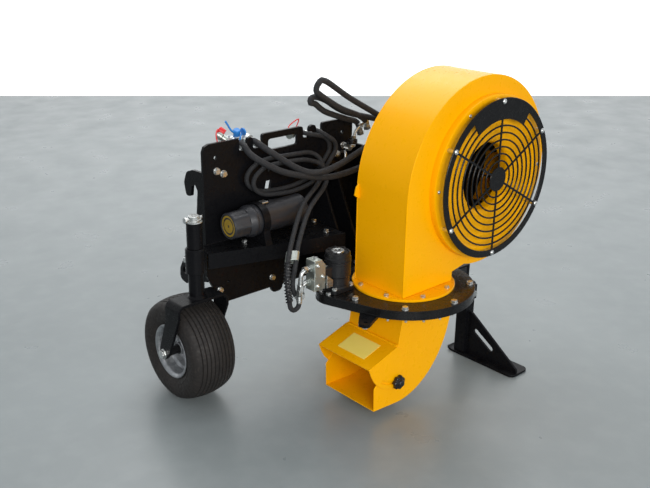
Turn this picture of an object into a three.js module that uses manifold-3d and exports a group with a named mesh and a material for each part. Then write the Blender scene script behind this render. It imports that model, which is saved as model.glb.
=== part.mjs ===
// Hitch-mounted hydraulic leaf blower: a fan volute on a slewing discharge chute, carried by a quick-hitch
// plate, a trailing caster wheel and a parking leg.
// Millimetres, +Z up. Places are measured from the floor below the middle of the hitch plate's rear face:
// +X runs along the plate, -Y is the front, where the fan breathes in. The last lines move the finished model
// so that the middle of its box stands over the origin.

import * as THREE from 'three';
import { mergeVertices } from 'three/addons/utils/BufferGeometryUtils.js';
import Module from 'manifold-3d';

const wasm = await Module();
wasm.setup();

// ---- Driving dimensions ----

const GAP = 0.3; // between welded or bolted neighbours
const SHEET = 3; // folded sheet of the volute and the chute
const PLATE = { half: 298, bottom: 266, top: 777, thick: 10, notchFloor: 738 };
const HOOK = { x: 280, thick: 10 };
const BEAM = { top: 470, deep: 48, wall: 5 };
const KINGPIN = { x: -370, y: -60, radius: 17, housing: 29.5, spacer: 23.5, top: 594, pinRise: 10 };
const CROWN = { under: 334, top: 342, housingLow: 419, housingHigh: 496, stackTop: 575 };
const WHEEL = { radius: 160, halfWidth: 76, bead: 74, trail: 56, axle: 8, chords: 26 };
const TURRET = { x: 158, y: -392, radius: 216, lobe: 64, bottom: 324, top: 352, plate: 6 };
const GEAR = { module: 7, ringTeeth: 50, pinionTeeth: 10, low: 333.6, thick: 9 };
const MOTOR_TURN = THREE.MathUtils.degToRad(154.7); // direction from the turret's centre to its motor
const FAN = { x: 389, z: 665, front: -492.5, back: -290.9 };
const DUCT = { left: -338, right: -125, tongue: -277, foot: 360.3 - FAN.z };
const SCROLL = { small: 275, large: 338, startDeg: -105, endDeg: 180, power: 2.1 };
const GUARD = { radius: 242, rim: 21, thick: 4, front: -539.5, pitch: 21, bar: 5, bars: 9, chord: 45 };
const PANEL_HALF_DEG = 34; // the guard's solid panel, each side of its top
const COLLAR = { radius: 248, lip: 216, front: -512.5 };
const CHUTE = { half: 105, top: 313.7, bendX: 40, bendZ: 302, reachX: 228, reachZ: 277 };
const HINGE = { x: 33, z: 211.5 };
const KNOB = { x: 31, z: 101, radius: 24 };
const ARM = { left: 394, right: 454, low: 275, high: 335, front: -405 };
const CROSS = { left: 120, front: -70, sheet: 5 }; // the box tube in front of the plate's foot
const UPRIGHT = { x: 300, thick: 8, top: 690 };
const FOOT = { toe: -228, heel: 45, inner: -28, outer: 60, thick: 8 }; // measured from the leg's axis
const LEG = { x: 486, y: -380, half: 20, top: 258, socketLow: 200, socketHigh: 250, clamp: 225, travel: 40 };
const TUBE = { left: -262, right: 15, y: -75, z: 540, radius: 47 };
const CAP = { grip: 41.5, collar: 49, gripLong: 62, long: 84 };
const HOSE = { fan: 9.5, steer: 8 };

// ---- Materials ----

function paint(color, roughness, metalness) {
  return new THREE.MeshStandardMaterial({ color, roughness, metalness });
}

const black = paint(0x1b1b1d, 0.45, 0.4);
const yellow = paint(0xf7b108, 0.35, 0.2);
const zinc = paint(0xc9c9c0, 0.35, 0.9);
const rimSilver = paint(0xa9abad, 0.4, 0.9);
const rubber = paint(0x2d2725, 0.9, 0);
const plastic = paint(0x2a2b2e, 0.6, 0);
const hose = paint(0x26272b, 0.8, 0);
const gearSteel = paint(0x6d6f72, 0.4, 0.9);

// ---- Geometry helpers ----

// A polygon's points from corners [x, y, fillet radius], each fillet an arc of a few chords.
function outline(corners, chords = 2) {
  const points = [];
  corners.forEach(([x, y, radius = 0], i) => {
    const corner = new THREE.Vector2(x, y);
    if (radius === 0) {
      points.push(corner);
      return;
    }
    const [beforeX, beforeY] = corners[(i + corners.length - 1) % corners.length];
    const [afterX, afterY] = corners[(i + 1) % corners.length];
    const before = new THREE.Vector2(beforeX, beforeY).sub(corner).normalize();
    const after = new THREE.Vector2(afterX, afterY).sub(corner).normalize();
    const half = Math.acos(before.dot(after)) / 2;
    const middle = before.clone().add(after).normalize().multiplyScalar(radius / Math.sin(half));
    const centre = corner.clone().add(middle);
    const start = corner.clone().addScaledVector(before, radius / Math.tan(half)).sub(centre);
    const turn = (Math.PI - 2 * half) * Math.sign(after.cross(before));
    for (let step = 0; step <= chords; step++) {
      points.push(start.clone().rotateAround(new THREE.Vector2(), (turn * step) / chords).add(centre));
    }
  });
  return points;
}

// Points of a circular arc, its two ends included.
function arc(x, y, radius, fromDeg, toDeg, chords) {
  return Array.from({ length: chords + 1 }, (_, i) => {
    const angle = THREE.MathUtils.degToRad(fromDeg + ((toDeg - fromDeg) * i) / chords);
    return new THREE.Vector2(x + radius * Math.cos(angle), y + radius * Math.sin(angle));
  });
}

function circle(x, y, radius, chords = 24) {
  return arc(x, y, radius, 0, 360, chords).slice(0, chords);
}

function rectangle(left, low, right, high) {
  return outline([[left, low], [right, low], [right, high], [left, high]]);
}

// A flat plate: the outline in XY, its thickness from z = low upwards.
function slab(points, low, thick, holes = []) {
  const shape = new THREE.Shape(points);
  shape.holes = holes.map((hole) => new THREE.Path(hole));
  const geometry = new THREE.ExtrudeGeometry(shape, { depth: thick, bevelEnabled: false, curveSegments: 1 });
  return geometry.translate(0, 0, low);
}

// A plate whose outline is in XZ, its thickness from y = front towards +Y.
function wall(points, front, thick, holes = []) {
  return slab(points, 0, thick, holes).rotateX(Math.PI / 2).translate(0, front + thick, 0);
}

const cycleAxes = new THREE.Matrix4().makeBasis(
  new THREE.Vector3(0, 1, 0),
  new THREE.Vector3(0, 0, 1),
  new THREE.Vector3(1, 0, 0),
);

// A plate whose outline is in YZ, its thickness from x = left towards +X.
function cheek(points, left, thick, holes = []) {
  return slab(points, 0, thick, holes).applyMatrix4(cycleAxes).translate(left, 0, 0);
}

function block(left, front, low, right, back, high) {
  return slab(rectangle(left, front, right, back), low, high - low);
}

function rodX(y, z, radius, left, right, chords = 16) {
  return cheek(circle(y, z, radius, chords), left, right - left);
}

function rodY(x, z, radius, front, back, chords = 16) {
  return wall(circle(x, z, radius, chords), front, back - front);
}

function rodZ(x, y, radius, low, high, chords = 16) {
  return slab(circle(x, y, radius, chords), low, high - low);
}

function ringZ(x, y, inner, outer, low, high, chords = 24) {
  return slab(circle(x, y, outer, chords), low, high - low, [circle(x, y, inner, chords)]);
}

// A round bar along a smooth curve through the points.
function bent(points, radius, steps, sides = 8) {
  const path = new THREE.CatmullRomCurve3(points.map((p) => new THREE.Vector3(...p)));
  const section = new THREE.Shape(circle(0, 0, radius, sides));
  return new THREE.ExtrudeGeometry(section, { steps, extrudePath: path, bevelEnabled: false });
}

// A turned ring about the local Y axis, from a closed profile of [radius, y] points.
function turned(profile, chords = 32) {
  const closed = [...profile, profile[0]].map(([radius, y]) => new THREE.Vector2(radius, y));
  return outward(new THREE.LatheGeometry(closed, chords));
}

// The same geometry with its faces pointing out.
function outward(geometry) {
  const p = geometry.attributes.position;
  const index = geometry.index;
  const corner = (i) => new THREE.Vector3().fromBufferAttribute(p, index.getX(i));
  let volume = 0;
  for (let i = 0; i < index.count; i += 3) {
    volume += corner(i).dot(corner(i + 1).cross(corner(i + 2)));
  }
  if (volume < 0) {
    index.array.reverse();
  }
  return geometry;
}

function toSolid(geometry) {
  const bare = geometry.clone();
  bare.deleteAttribute('normal');
  bare.deleteAttribute('uv');
  const merged = mergeVertices(bare, 1e-3);
  const mesh = new wasm.Mesh({
    numProp: 3,
    vertProperties: new Float32Array(merged.attributes.position.array),
    triVerts: new Uint32Array(merged.index.array),
  });
  return new wasm.Manifold(mesh);
}

function fromSolid(solid) {
  const mesh = solid.getMesh();
  const geometry = new THREE.BufferGeometry();
  geometry.setAttribute('position', new THREE.BufferAttribute(mesh.vertProperties, 3));
  geometry.setIndex(new THREE.BufferAttribute(mesh.triVerts, 1));
  return geometry;
}

function join(...parts) {
  return fromSolid(parts.map(toSolid).reduce((sum, part) => sum.add(part)));
}

function cut(base, ...tools) {
  return fromSolid(tools.map(toSolid).reduce((rest, tool) => rest.subtract(tool), toSolid(base)));
}

function overlap(first, second) {
  return fromSolid(toSolid(first).intersect(toSolid(second)));
}

const model = new THREE.Group();

function assembly(x, y, z) {
  const group = new THREE.Group();
  group.position.set(x, y, z);
  model.add(group);
  return group;
}

function piece(name, material, geometry, group = model) {
  const mesh = new THREE.Mesh(geometry, material);
  mesh.name = name;
  group.add(mesh);
}

// ---- Hitch frame ----

function hitchPlate() {
  const { half, bottom, top, thick, notchFloor } = PLATE;
  const edge = outline([
    [-245, bottom, 6], [-50, bottom, 5], [-44, 244, 14], [-6, 244, 14], [0, bottom, 5],
    [half, bottom, 10], [half, top, 22],
    [164, top, 8], [164, notchFloor, 8], [139, notchFloor, 5], [139, top - 2, 12],
    [109, top - 2, 12], [109, notchFloor, 5], [84, notchFloor, 8], [84, top, 8],
    [-79, top, 8], [-79, notchFloor, 8], [-114, notchFloor, 5], [-114, top - 2, 10],
    [-136, top - 2, 10], [-136, notchFloor, 5], [-166, notchFloor, 6], [-166, top, 8],
    [-half, top, 22], [-half, 368, 6],
  ]);
  const handle = outline([[-56, 723, 8], [60, 723, 8], [60, 757, 8], [-56, 757, 8]]);
  const slantedSlot = outline([[-76, 585], [-54, 585], [-44, 627], [-66, 627]]);
  const smallHoles = [[-253, 733, 6], [253, 733, 6], [-54, 659, 4], [-219, 333, 4]];
  const holes = smallHoles.map(([x, z, radius]) => circle(x, z, radius, 10));
  piece('hitch_plate', black, wall(edge, -thick, thick, [handle, slantedSlot, ...holes]));
}

function hookProfile() {
  return outline([
    [GAP, 345], [95, 322, 10], [116, 303, 12], [154, 310, 16], [151, 348, 16], [124, 394, 14],
    [72, 420, 20], [45, 470, 20], [45, 555, 10], [36, 628, 6], [49, 646, 7], [65, 640, 7],
    [72, 604, 6], [97, 600, 10], [107, 640, 14], [92, 676, 20], [60, 688, 18], [GAP, 690],
  ], 2);
}

function hookPlates() {
  const pinHole = circle(124, 347, 13, 12);
  piece('hook_plate_left', black, cheek(hookProfile(), -HOOK.x - HOOK.thick, HOOK.thick, [pinHole]));
  piece('hook_plate_right', black, cheek(hookProfile(), HOOK.x, HOOK.thick, [pinHole]));
}

// A folded shelf in front of the plate: its top sheet meets the plate and its apron runs slantwise forward.
function beam() {
  const { top, deep, wall: sheet } = BEAM;
  const rear = -PLATE.thick - GAP;
  const edge = outline([[-333, -74], [0, -177], [98, -198], [98, rear], [-333, rear]]);
  const apron = outline([[-333, -74], [0, -177], [98, -198], [98, -198 + sheet], [0, -177 + sheet],
    [-333, -74 + sheet]]);
  piece('beam', black, join(slab(edge, top - sheet, sheet), slab(apron, top - deep, deep)));
}

function kingpinHousing() {
  const { housing, radius, x, y } = KINGPIN;
  piece('kingpin_housing', black, ringZ(x, y, radius + 0.5, housing, CROWN.housingLow, CROWN.housingHigh));
}

function turretSupport() {
  const rear = -PLATE.thick - GAP;
  const { left, front, sheet } = CROSS;
  const { low, high, right } = ARM;
  const crossTube = block(left, front, low, right, rear, high);
  const crossBore = block(left - 1, front + sheet, low + sheet, right + 1, rear - sheet, high - sheet);
  const foot = high - 1;
  const edge = outline([[front, foot], [rear, foot], [rear, UPRIGHT.top], [front, UPRIGHT.top, 20]]);
  piece('cross_tube', black, join(cut(crossTube, crossBore), cheek(edge, UPRIGHT.x, UPRIGHT.thick)));
  const sideArm = block(ARM.left, ARM.front, low, right, front - GAP, high);
  const armBore = block(ARM.left + sheet, ARM.front - 1, low + sheet, right - sheet, front + 1, high - sheet);
  piece('side_arm', black, cut(sideArm, armBore));
  const turretArm = block(left, -231, 262, 200, front - GAP, TURRET.bottom - GAP);
  const turretBore = block(left + sheet, -232, 262 + sheet, 200 - sheet, front + 1, TURRET.bottom - sheet);
  piece('turret_arm', black, cut(turretArm, turretBore));
  const rib = outline([[-172, 340], [rear, 340], [rear, 640], [-40, 640, 10], [-172, 372, 10]]);
  piece('turret_rib_left', black, cheek(rib, 124, 8));
  piece('turret_rib_right', black, cheek(rib, 188, 8));
}

// ---- Document tube ----

function documentTube() {
  const { left, right, y, z, radius } = TUBE;
  const { grip, collar, gripLong, long } = CAP;
  const inner = radius - 4;
  const start = left + long;
  const body = cheek(circle(y, z, radius, 28), start, right - start);
  const bore = cheek(circle(y, z, inner, 28), start - 1, right - start - 3);
  piece('document_tube', plastic, cut(body, bore));
  const handGrip = cheek(circle(y, z, grip, 28), left, gripLong + 2);
  const skirt = cheek(circle(y, z, collar, 28), left + gripLong, long - GAP - gripLong);
  const plug = cheek(circle(y, z, inner - 0.5, 28), left + gripLong + 8, 30);
  piece('document_cap', plastic, join(handGrip, skirt, plug));
  const band = [circle(y, z, radius + GAP, 28)];
  const foot = [...arc(y, z, radius + 6, -30, 210, 20),
    ...outline([[y - 58, BEAM.top + GAP], [y + 58, BEAM.top + GAP]])];
  piece('tube_saddle', black, cheek(foot, -165, 24, band));
}

// ---- Caster ----

function casterFork() {
  const { halfWidth, trail, radius } = WHEEL;
  const inside = halfWidth + 6;
  const outside = inside + CROWN.top - CROWN.under;
  const foot = radius - 40;
  const above = CROWN.top + 1;
  const strap = outline([
    [outside, foot], [outside, CROWN.top, 24], [-outside, CROWN.top, 24], [-outside, foot],
    [-inside, foot], [-inside, CROWN.under, 16], [inside, CROWN.under, 16], [inside, foot],
  ], 6);
  const arm = outline([[-34, above], [-34, CROWN.top - 40], [trail - 26, radius, 20],
    [trail, radius - 28, 20], [trail + 26, radius, 20], [36, CROWN.top - 60], [36, above]]);
  const hole = [circle(trail, radius, WHEEL.axle + GAP, 12)];
  return overlap(wall(strap, -60, 200), cheek(arm, -outside - 1, 2 * outside + 2, hole));
}

function wheelAxle() {
  const reach = WHEEL.halfWidth + 15;
  const [y, z] = [WHEEL.trail, WHEEL.radius];
  const shank = rodX(y, z, WHEEL.axle, -reach, reach, 12);
  const heads = [rodX(y, z, 14, -reach - 10, -reach, 6), rodX(y, z, 14, reach, reach + 10, 6)];
  return join(shank, ...heads);
}

// Wheel profiles are [radius, distance along the axle].
function tyreProfile() {
  const { radius, halfWidth, bead } = WHEEL;
  const half = [[bead + GAP, 62], [92, 65], [110, halfWidth - 1], [126, halfWidth], [140, halfWidth - 4],
    [150, 64], [157, 50], [radius, 28]];
  const cavity = [[150, 26], [146, 46], [134, 63], [116, 67], [92, 54], [bead + GAP, 52]];
  const mirrored = (points) => points.map(([r, x]) => [r, -x]).reverse();
  return [...half, ...mirrored(half), ...mirrored(cavity), ...cavity];
}

function rimProfile() {
  const { bead, axle } = WHEEL;
  const bore = axle + GAP;
  const half = [[bore, 40], [22, 40], [22, 4], [bead - 4, 4], [bead - 4, 63], [81, 68], [85, 68], [85, 64.6],
    [bead, 62.5]];
  const mirrored = half.map(([r, x]) => [r, -x]).reverse();
  return [...half, ...mirrored];
}

function caster() {
  const group = assembly(KINGPIN.x, KINGPIN.y, 0);
  const { radius, spacer, top } = KINGPIN;
  const pinHeight = CROWN.stackTop + KINGPIN.pinRise;
  const pinHole = rodX(0, pinHeight, 6, -30, 30, 12);
  const post = rodZ(0, 0, radius, CROWN.top + GAP, top, 20);
  piece('kingpin', zinc, cut(post, pinHole), group);
  piece('caster_fork', black, casterFork(), group);
  const bore = radius + GAP;
  piece('lower_spacer', black,
    ringZ(0, 0, bore, spacer, CROWN.top + GAP, CROWN.housingLow - 0.5), group);
  piece('upper_spacer', black,
    ringZ(0, 0, bore, spacer, CROWN.housingHigh + 0.5, CROWN.stackTop), group);
  const pin = rodX(0, pinHeight, 5, -27, 27, 10);
  const knobEnd = rodX(0, pinHeight, 9, -33, -26, 10);
  piece('lynch_pin', zinc, join(pin, knobEnd), group);
  piece('wheel_axle', zinc, wheelAxle(), group);
  const wheel = new THREE.Group();
  wheel.position.set(0, WHEEL.trail, WHEEL.radius);
  wheel.rotation.z = Math.PI / 2;
  group.add(wheel);
  piece('tyre', rubber, turned(tyreProfile(), WHEEL.chords), wheel);
  piece('wheel_rim', rimSilver, turned(rimProfile(), WHEEL.chords), wheel);
}

// ---- Turret and steering drive ----

// The turret's pear shape: a large circle and the motor's lobe, with straight flanks that touch both.
function pear(radius, lobe) {
  const reach = motorReach();
  const turn = THREE.MathUtils.radToDeg(MOTOR_TURN);
  const touch = THREE.MathUtils.radToDeg(Math.acos((radius - lobe) / reach));
  const [x, y] = motorPlace();
  return [
    ...arc(0, 0, radius, turn + touch, turn - touch + 360, 34),
    ...arc(x, y, lobe, turn - touch, turn + touch, 8),
  ];
}

function motorReach() {
  return (GEAR.module * (GEAR.ringTeeth + GEAR.pinionTeeth)) / 2;
}

function motorPlace() {
  return [motorReach() * Math.cos(MOTOR_TURN), motorReach() * Math.sin(MOTOR_TURN)];
}

// A spur gear's outline with slightly thin trapezoid teeth, which leave backlash; turnDeg turns one tooth's
// middle away from +X.
function gearOutline(teeth, turnDeg) {
  const pitchRadius = (GEAR.module * teeth) / 2;
  const pitchDeg = 360 / teeth;
  const tooth = [[-0.32, -1.15], [-0.12, 0.85], [0.12, 0.85], [0.32, -1.15]];
  const points = [];
  for (let i = 0; i < teeth; i++) {
    tooth.forEach(([turn, height]) => {
      const angle = THREE.MathUtils.degToRad(turnDeg + (i + turn) * pitchDeg);
      const radius = pitchRadius + height * GEAR.module;
      points.push(new THREE.Vector2(radius * Math.cos(angle), radius * Math.sin(angle)));
    });
  }
  return points;
}

function turretHousing(group) {
  const { radius, lobe, bottom, top, plate } = TURRET;
  const [x, y] = motorPlace();
  const mainHole = (size) => circle(0, 0, size, 40);
  piece('turret_bottom_plate', black, slab(pear(radius, lobe), bottom, plate, [mainHole(150)]), group);
  const rimLow = bottom + plate + GAP;
  const rimHigh = top - plate - GAP;
  piece('turret_rim', black,
    slab(pear(radius, lobe), rimLow, rimHigh - rimLow, [pear(radius - 24, lobe - 18)]), group);
  const shaftHole = circle(x, y, 24, 16);
  piece('turret_top_plate', black,
    slab(pear(radius, lobe), top - plate, plate, [mainHole(128), shaftHole]), group);
  piece('slide_ring', plastic, ringZ(0, 0, 153, 170, rimLow, GEAR.low - GAP, 40), group);
  const stop = outline([[-172, -20], [-200, -20], [-268, -82, 12], [-254, -110, 12], [-162, -68]]);
  piece('turret_lug', black, slab(stop, bottom - 10 - GAP, 10, [circle(-244, -88, 6, 10)]), group);
}

function steeringDrive(group) {
  const [x, y] = motorPlace();
  const top = TURRET.top + GAP;
  const flange = slab(outline([[x - 42, y - 34, 10], [x + 42, y - 34, 10], [x + 42, y + 34, 10],
    [x - 42, y + 34, 10]]), top, 12);
  piece('steering_motor', black, join(flange, rodZ(x, y, 40, top, 440, 24)), group);
  piece('steering_motor_cover', black,
    join(rodZ(x, y, 40.5, 440 + GAP, 452, 24), rodZ(x, y, 38, 451, 474, 24)), group);
  const turnDeg = THREE.MathUtils.radToDeg(MOTOR_TURN) + 180 + 180 / GEAR.pinionTeeth;
  const pinionPoints = gearOutline(GEAR.pinionTeeth, turnDeg);
  const pinion = slab(pinionPoints, GEAR.low, GEAR.thick).translate(x, y, 0);
  piece('drive_pinion', gearSteel, join(pinion, rodZ(x, y, 12.5, GEAR.low, TURRET.top, 16)), group);
}

function steeringValve(group) {
  const [x, y] = motorPlace();
  const left = x - 105;
  const right = x - 63;
  const face = outline([[left, 377], [right, 377], [right, 452], [right - 14, 470], [left, 470]]);
  const body = wall(face, y - 18, 40);
  const ports = [396, 430].map((z) => rodX(y, z, 9, right - 1, x - 40 - GAP, 12));
  piece('valve_block', zinc, join(body, ...ports), group);
  const end = left - GAP;
  const upper = [[end, y, 446], [end - 22, y, 446], [end - 38, y, 432], [end - 40, y, 392]];
  const low = y + 12;
  const lower = [[end, low, 398], [end - 12, low, 398], [end - 23, low, 388], [end - 25, low, 352]];
  piece('valve_elbow_upper', zinc, bent(upper, 8, 10), group);
  piece('valve_elbow_lower', zinc, bent(lower, 8, 10), group);
}

// ---- Volute, fan and motor ----

function scrollRadius(deg) {
  const share = (deg - SCROLL.startDeg) / (SCROLL.endDeg - SCROLL.startDeg);
  return SCROLL.small + (SCROLL.large - SCROLL.small) * Math.pow(share, SCROLL.power);
}

// The casing's side view, from the duct's left foot up and around the scroll to its right foot, drawn inset
// from the outside.
function voluteEdge(inset, chords = 38) {
  const { left, right, tongue, foot } = DUCT;
  const points = [new THREE.Vector2(left + inset, foot)];
  for (let i = 0; i <= chords; i++) {
    const deg = SCROLL.endDeg + ((SCROLL.startDeg - SCROLL.endDeg) * i) / chords;
    const angle = THREE.MathUtils.degToRad(deg);
    const radius = scrollRadius(deg) - inset;
    points.push(new THREE.Vector2(radius * Math.cos(angle), radius * Math.sin(angle)));
  }
  points.push(new THREE.Vector2(right - inset, tongue + inset * 0.7));
  points.push(new THREE.Vector2(right - inset, foot));
  return points;
}

function volute(group) {
  const { front, back } = FAN;
  piece('volute_front', yellow, wall(voluteEdge(0), front, SHEET, [circle(0, 0, 236.5, 36)]), group);
  piece('volute_back', yellow, wall(voluteEdge(0), back - SHEET, SHEET, [circle(0, 0, 20, 16)]), group);
  const strip = [...voluteEdge(0), ...voluteEdge(SHEET).reverse()];
  const low = front + SHEET + GAP;
  piece('volute_wrap', yellow, wall(strip, low, back - SHEET - GAP - low), group);
  const [x, y] = [TURRET.x - FAN.x, TURRET.y];
  const duct = rectangle(DUCT.left + 3, front + 4, DUCT.right - 3, back - 4);
  piece('volute_flange', yellow,
    slab(circle(x, y, 155, 36), TURRET.top + GAP - FAN.z, 7.4, [duct]), group);
}

function inlet(group) {
  const seat = FAN.front - GAP;
  const { radius: collar, lip, front: lipFront } = COLLAR;
  const cone = [
    [collar, seat], [collar, lipFront], [lip, lipFront], [lip - 8, -507], [150, -503], [114, -501],
    [102, -494], [101, -466], [104, -466], [105, -492], [115, -497.8], [150, -500], [lip - 7, -504],
    [lip + 0.5, lipFront + SHEET], [collar - SHEET, lipFront + SHEET], [collar - SHEET, seat],
  ];
  piece('inlet_cone', yellow, turned(cone, 30), group);
  const { radius, rim, thick, front, pitch, bar, bars } = GUARD;
  const slots = [];
  for (let ringIndex = 0; ringIndex < bars; ringIndex++) {
    const outer = radius - rim - ringIndex * pitch;
    const inner = outer - pitch + bar;
    for (let sector = 0; sector < 6; sector++) {
      slots.push(guardSlot(inner, outer, sector, ringIndex < 2));
    }
  }
  piece('inlet_guard', black, wall(circle(0, 0, radius, 48), front, thick, slots), group);
}

// One curved slot between two spokes; the outer slots stop short of the solid label panel at the top.
function guardSlot(inner, outer, sector, atPanel) {
  const spokeHalf = 3.5;
  const margin = (r) => THREE.MathUtils.radToDeg(Math.asin(spokeHalf / r));
  const startDeg = -30 + sector * 60;
  const low = atPanel && sector === 2 ? 90 + PANEL_HALF_DEG : startDeg;
  const high = atPanel && sector === 1 ? 90 - PANEL_HALF_DEG : startDeg + 60;
  const chords = Math.max(2, Math.round(THREE.MathUtils.degToRad(high - low) * outer / GUARD.chord));
  return [
    ...arc(0, 0, outer, low + margin(outer), high - margin(outer), chords),
    ...arc(0, 0, inner, high - margin(inner), low + margin(inner), chords),
  ];
}

function fanRotor(group) {
  const back = FAN.back - SHEET - 10;
  const disc = wall(circle(0, 0, 240, 36), back - 3, 3);
  const hub = rodY(0, 0, 34, back - 45, back, 20);
  const bore = rodY(0, 0, 13, back - 60, back + 10, 12);
  const blades = Array.from({ length: 8 }, (_, i) => {
    const blade = block(112, -2, 0, 234, 2, 145).rotateX(Math.PI / 2).rotateY(-0.45);
    return blade.translate(0, back - 1, 0).rotateY((i * Math.PI) / 4);
  });
  piece('impeller', black, cut(join(disc, hub, ...blades), bore), group);
  piece('fan_shaft', gearSteel, rodY(0, 0, 12.5, back - 48, FAN.back + 12, 12), group);
}

function fanMotor(group) {
  const mountFront = FAN.back + GAP;
  const mount = wall(outline([[-90, -70, 12], [90, -70, 12], [90, 70, 12], [-90, 70, 12]]), mountFront, 10,
    [circle(0, 0, 26, 20)]);
  piece('fan_motor_mount', black, mount, group);
  const face = mountFront + 10 + GAP;
  const pump = wall(outline([[-44, -62, 12], [44, -62, 12], [44, 62, 12], [-44, 62, 12]]), face, 105);
  const ports = rodX(face + 60, 20, 16, -58, 58, 12);
  const bore = rodY(0, 0, 13, face - 1, face + 8, 12);
  piece('fan_motor', black, cut(join(pump, ports), bore), group);
}

// ---- Hydraulic lines ----

// Points of an elliptical bend seen from the front; its depth runs evenly from one y to another.
function bow(x, z, wide, high, fromDeg, toDeg, steps, fromY, toY) {
  const points = arc(0, 0, 1, fromDeg, toDeg, steps);
  return points.map((p, i) => [x + wide * p.x, fromY + ((toY - fromY) * i) / steps, z + high * p.y]);
}

function hydraulicLines() {
  piece('hose_fan_pressure', hose, bent([
    [-151, 22, 755], [-150, -12, 756], [-108, -45, 708], [-33, -62, 666], [62, -80, 627], [158, -95, 619],
    [232, -105, 634], [285, -130, 655], [327, -180, 672],
  ], HOSE.fan, 30));
  piece('hose_fan_return', hose, bent([
    [-100, 22, 755], [-98, -14, 757], [-46, -45, 722], [8, -88, 680], [76, -120, 655], [146, -130, 665],
    [205, -140, 695], [260, -150, 730], [290, -180, 745],
  ], HOSE.fan, 30));
  // A spare coil lies against the plate before this hose falls to the valve's upper elbow.
  piece('hose_steer_left', hose, bent([
    [96, 22, 752], [97, -14, 753],
    ...bow(105, 700, 60, 40, 55, -60, 3, -38, -84), [79, -60, 635],
    ...bow(-68, 657, 98, 48, -80, -280, 5, -38, -24),
    ...bow(48, 660, 38, 38, 90, -30, 2, -24, -48), [70, -66, 612],
    [35, -115, 585], [-20, -160, 555], [-125, -215, 495], [-185, -270, 450], [-206, -305, 400],
    ...bow(-192, 343, 15, 18, 180, 360, 4, -306, -302.2), [-177, -302.2, 388],
  ], HOSE.steer, 60, 6));
  piece('hose_steer_right', hose, bent([
    [151, 22, 752], [152, -14, 753],
    ...bow(130, 698, 60, 42, 45, -60, 3, -38, -66), [100, -56, 612],
    [80, -85, 590], [50, -130, 568], [-6, -178, 538], [-111, -232, 478], [-160, -278, 438], [-187, -284, 396],
    ...bow(-175, 342, 13, 13, 180, 360, 4, -286, -290.3), [-162, -290.3, 350],
  ], HOSE.steer, 40, 6));
  piece('hose_loop_upper', hose, bent([
    [307, -60, 760], [290, -60, 800], [237, -60, 853], [171, -60, 902], [117, -60, 922], [93, -60, 905],
    [118, -60, 870], [195, -60, 827], [262, -60, 790], [285, -60, 762],
  ], HOSE.fan, 30));
  piece('hose_loop_lower', hose, bent([
    [332, -30, 740], [300, -30, 782], [236, -30, 815], [149, -30, 858], [90, -30, 872], [80, -30, 850],
    [140, -30, 815], [225, -30, 785], [262, -30, 752],
  ], HOSE.fan, 28));
}

function coupler(name, x) {
  const z = 755;
  piece(name, zinc, join(rodY(x, z, 15, 24, 70, 12), rodY(x, z, 18, 40, 58, 12)));
}

// ---- Discharge chute ----

// The bend's rear wall in side view, inset from the outside.
function chuteBend(inset) {
  const { bendX, bendZ, reachX, reachZ } = CHUTE;
  const chords = 10;
  return Array.from({ length: chords + 1 }, (_, i) => {
    const angle = (-Math.PI / 2) * (1 - i / chords);
    return new THREE.Vector2(
      bendX + (reachX - inset) * Math.cos(angle) - TURRET.x,
      bendZ + (reachZ - inset) * Math.sin(angle),
    );
  });
}

function sideView(points) {
  return points.map(([x, z]) => new THREE.Vector2(x - TURRET.x, z));
}

function chuteDuct() {
  const { half, top } = CHUTE;
  const lipFloor = 30;
  const back = CHUTE.bendX + CHUTE.reachX;
  const outside = [
    ...sideView([[52, top], [33, 205], [-60, 104], [-58, lipFloor]]),
    ...chuteBend(0), ...sideView([[back, top]]),
  ];
  const inside = [
    ...sideView([[55, top + 5], [36.2, 206], [33, 205], [-80, 90], [-80, lipFloor + SHEET + 1]]),
    ...chuteBend(SHEET), ...sideView([[back - SHEET, top + 5]]),
  ];
  const shell = wall(outside, -half, 2 * half);
  const air = wall(inside, -half + SHEET, 2 * (half - SHEET));
  const studHole = rodY(KNOB.x - TURRET.x, KNOB.z, 4.3, -half - 5, -half + 10, 12);
  return cut(shell, air, studHole);
}

function chuteFlange() {
  const { top } = CHUTE;
  const high = GEAR.low + GEAR.thick;
  const plate = ringZ(0, 0, 130, 160, top + GAP, 321.5, 40);
  const neck = ringZ(0, 0, 130, 135.5, top + GAP, high, 40);
  return cut(join(plate, neck), block(-107 + SHEET, -102, 300, 104, 102, 321.6));
}

// A point at the given distance and side-view angle from the hood's hinge.
function aroundHinge(radius, deg) {
  const angle = THREE.MathUtils.degToRad(deg);
  return [HINGE.x + radius * Math.cos(angle), HINGE.z + radius * Math.sin(angle)];
}

function hood() {
  const wing = sideView([
    [28, 216], [-87, 179], [-78, 156], [-64, 130], [-46, 111], [-24, 96], [0, 86], [30, 79], [56, 81],
    [70, 98], [68, 130], [44, 205],
  ]);
  const knobReach = Math.hypot(KNOB.x - HINGE.x, KNOB.z - HINGE.z);
  const slotHalf = 4.6;
  const edge = (radius, from, to) => Array.from({ length: 6 }, (_, i) =>
    aroundHinge(radius, from + ((to - from) * i) / 5));
  const slot = sideView([...edge(knobReach + slotHalf, -127, -84), ...edge(knobReach - slotHalf, -84, -127)]);
  const inside = CHUTE.half + 0.5;
  const top = wall(sideView([[28, 216], [-87, 179], [-86, 176], [29, 212.9]]), -inside - 1, 2 * inside + 2);
  return join(top, wall(wing, -inside - SHEET, SHEET, [slot]), wall(wing, inside, SHEET));
}

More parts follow.
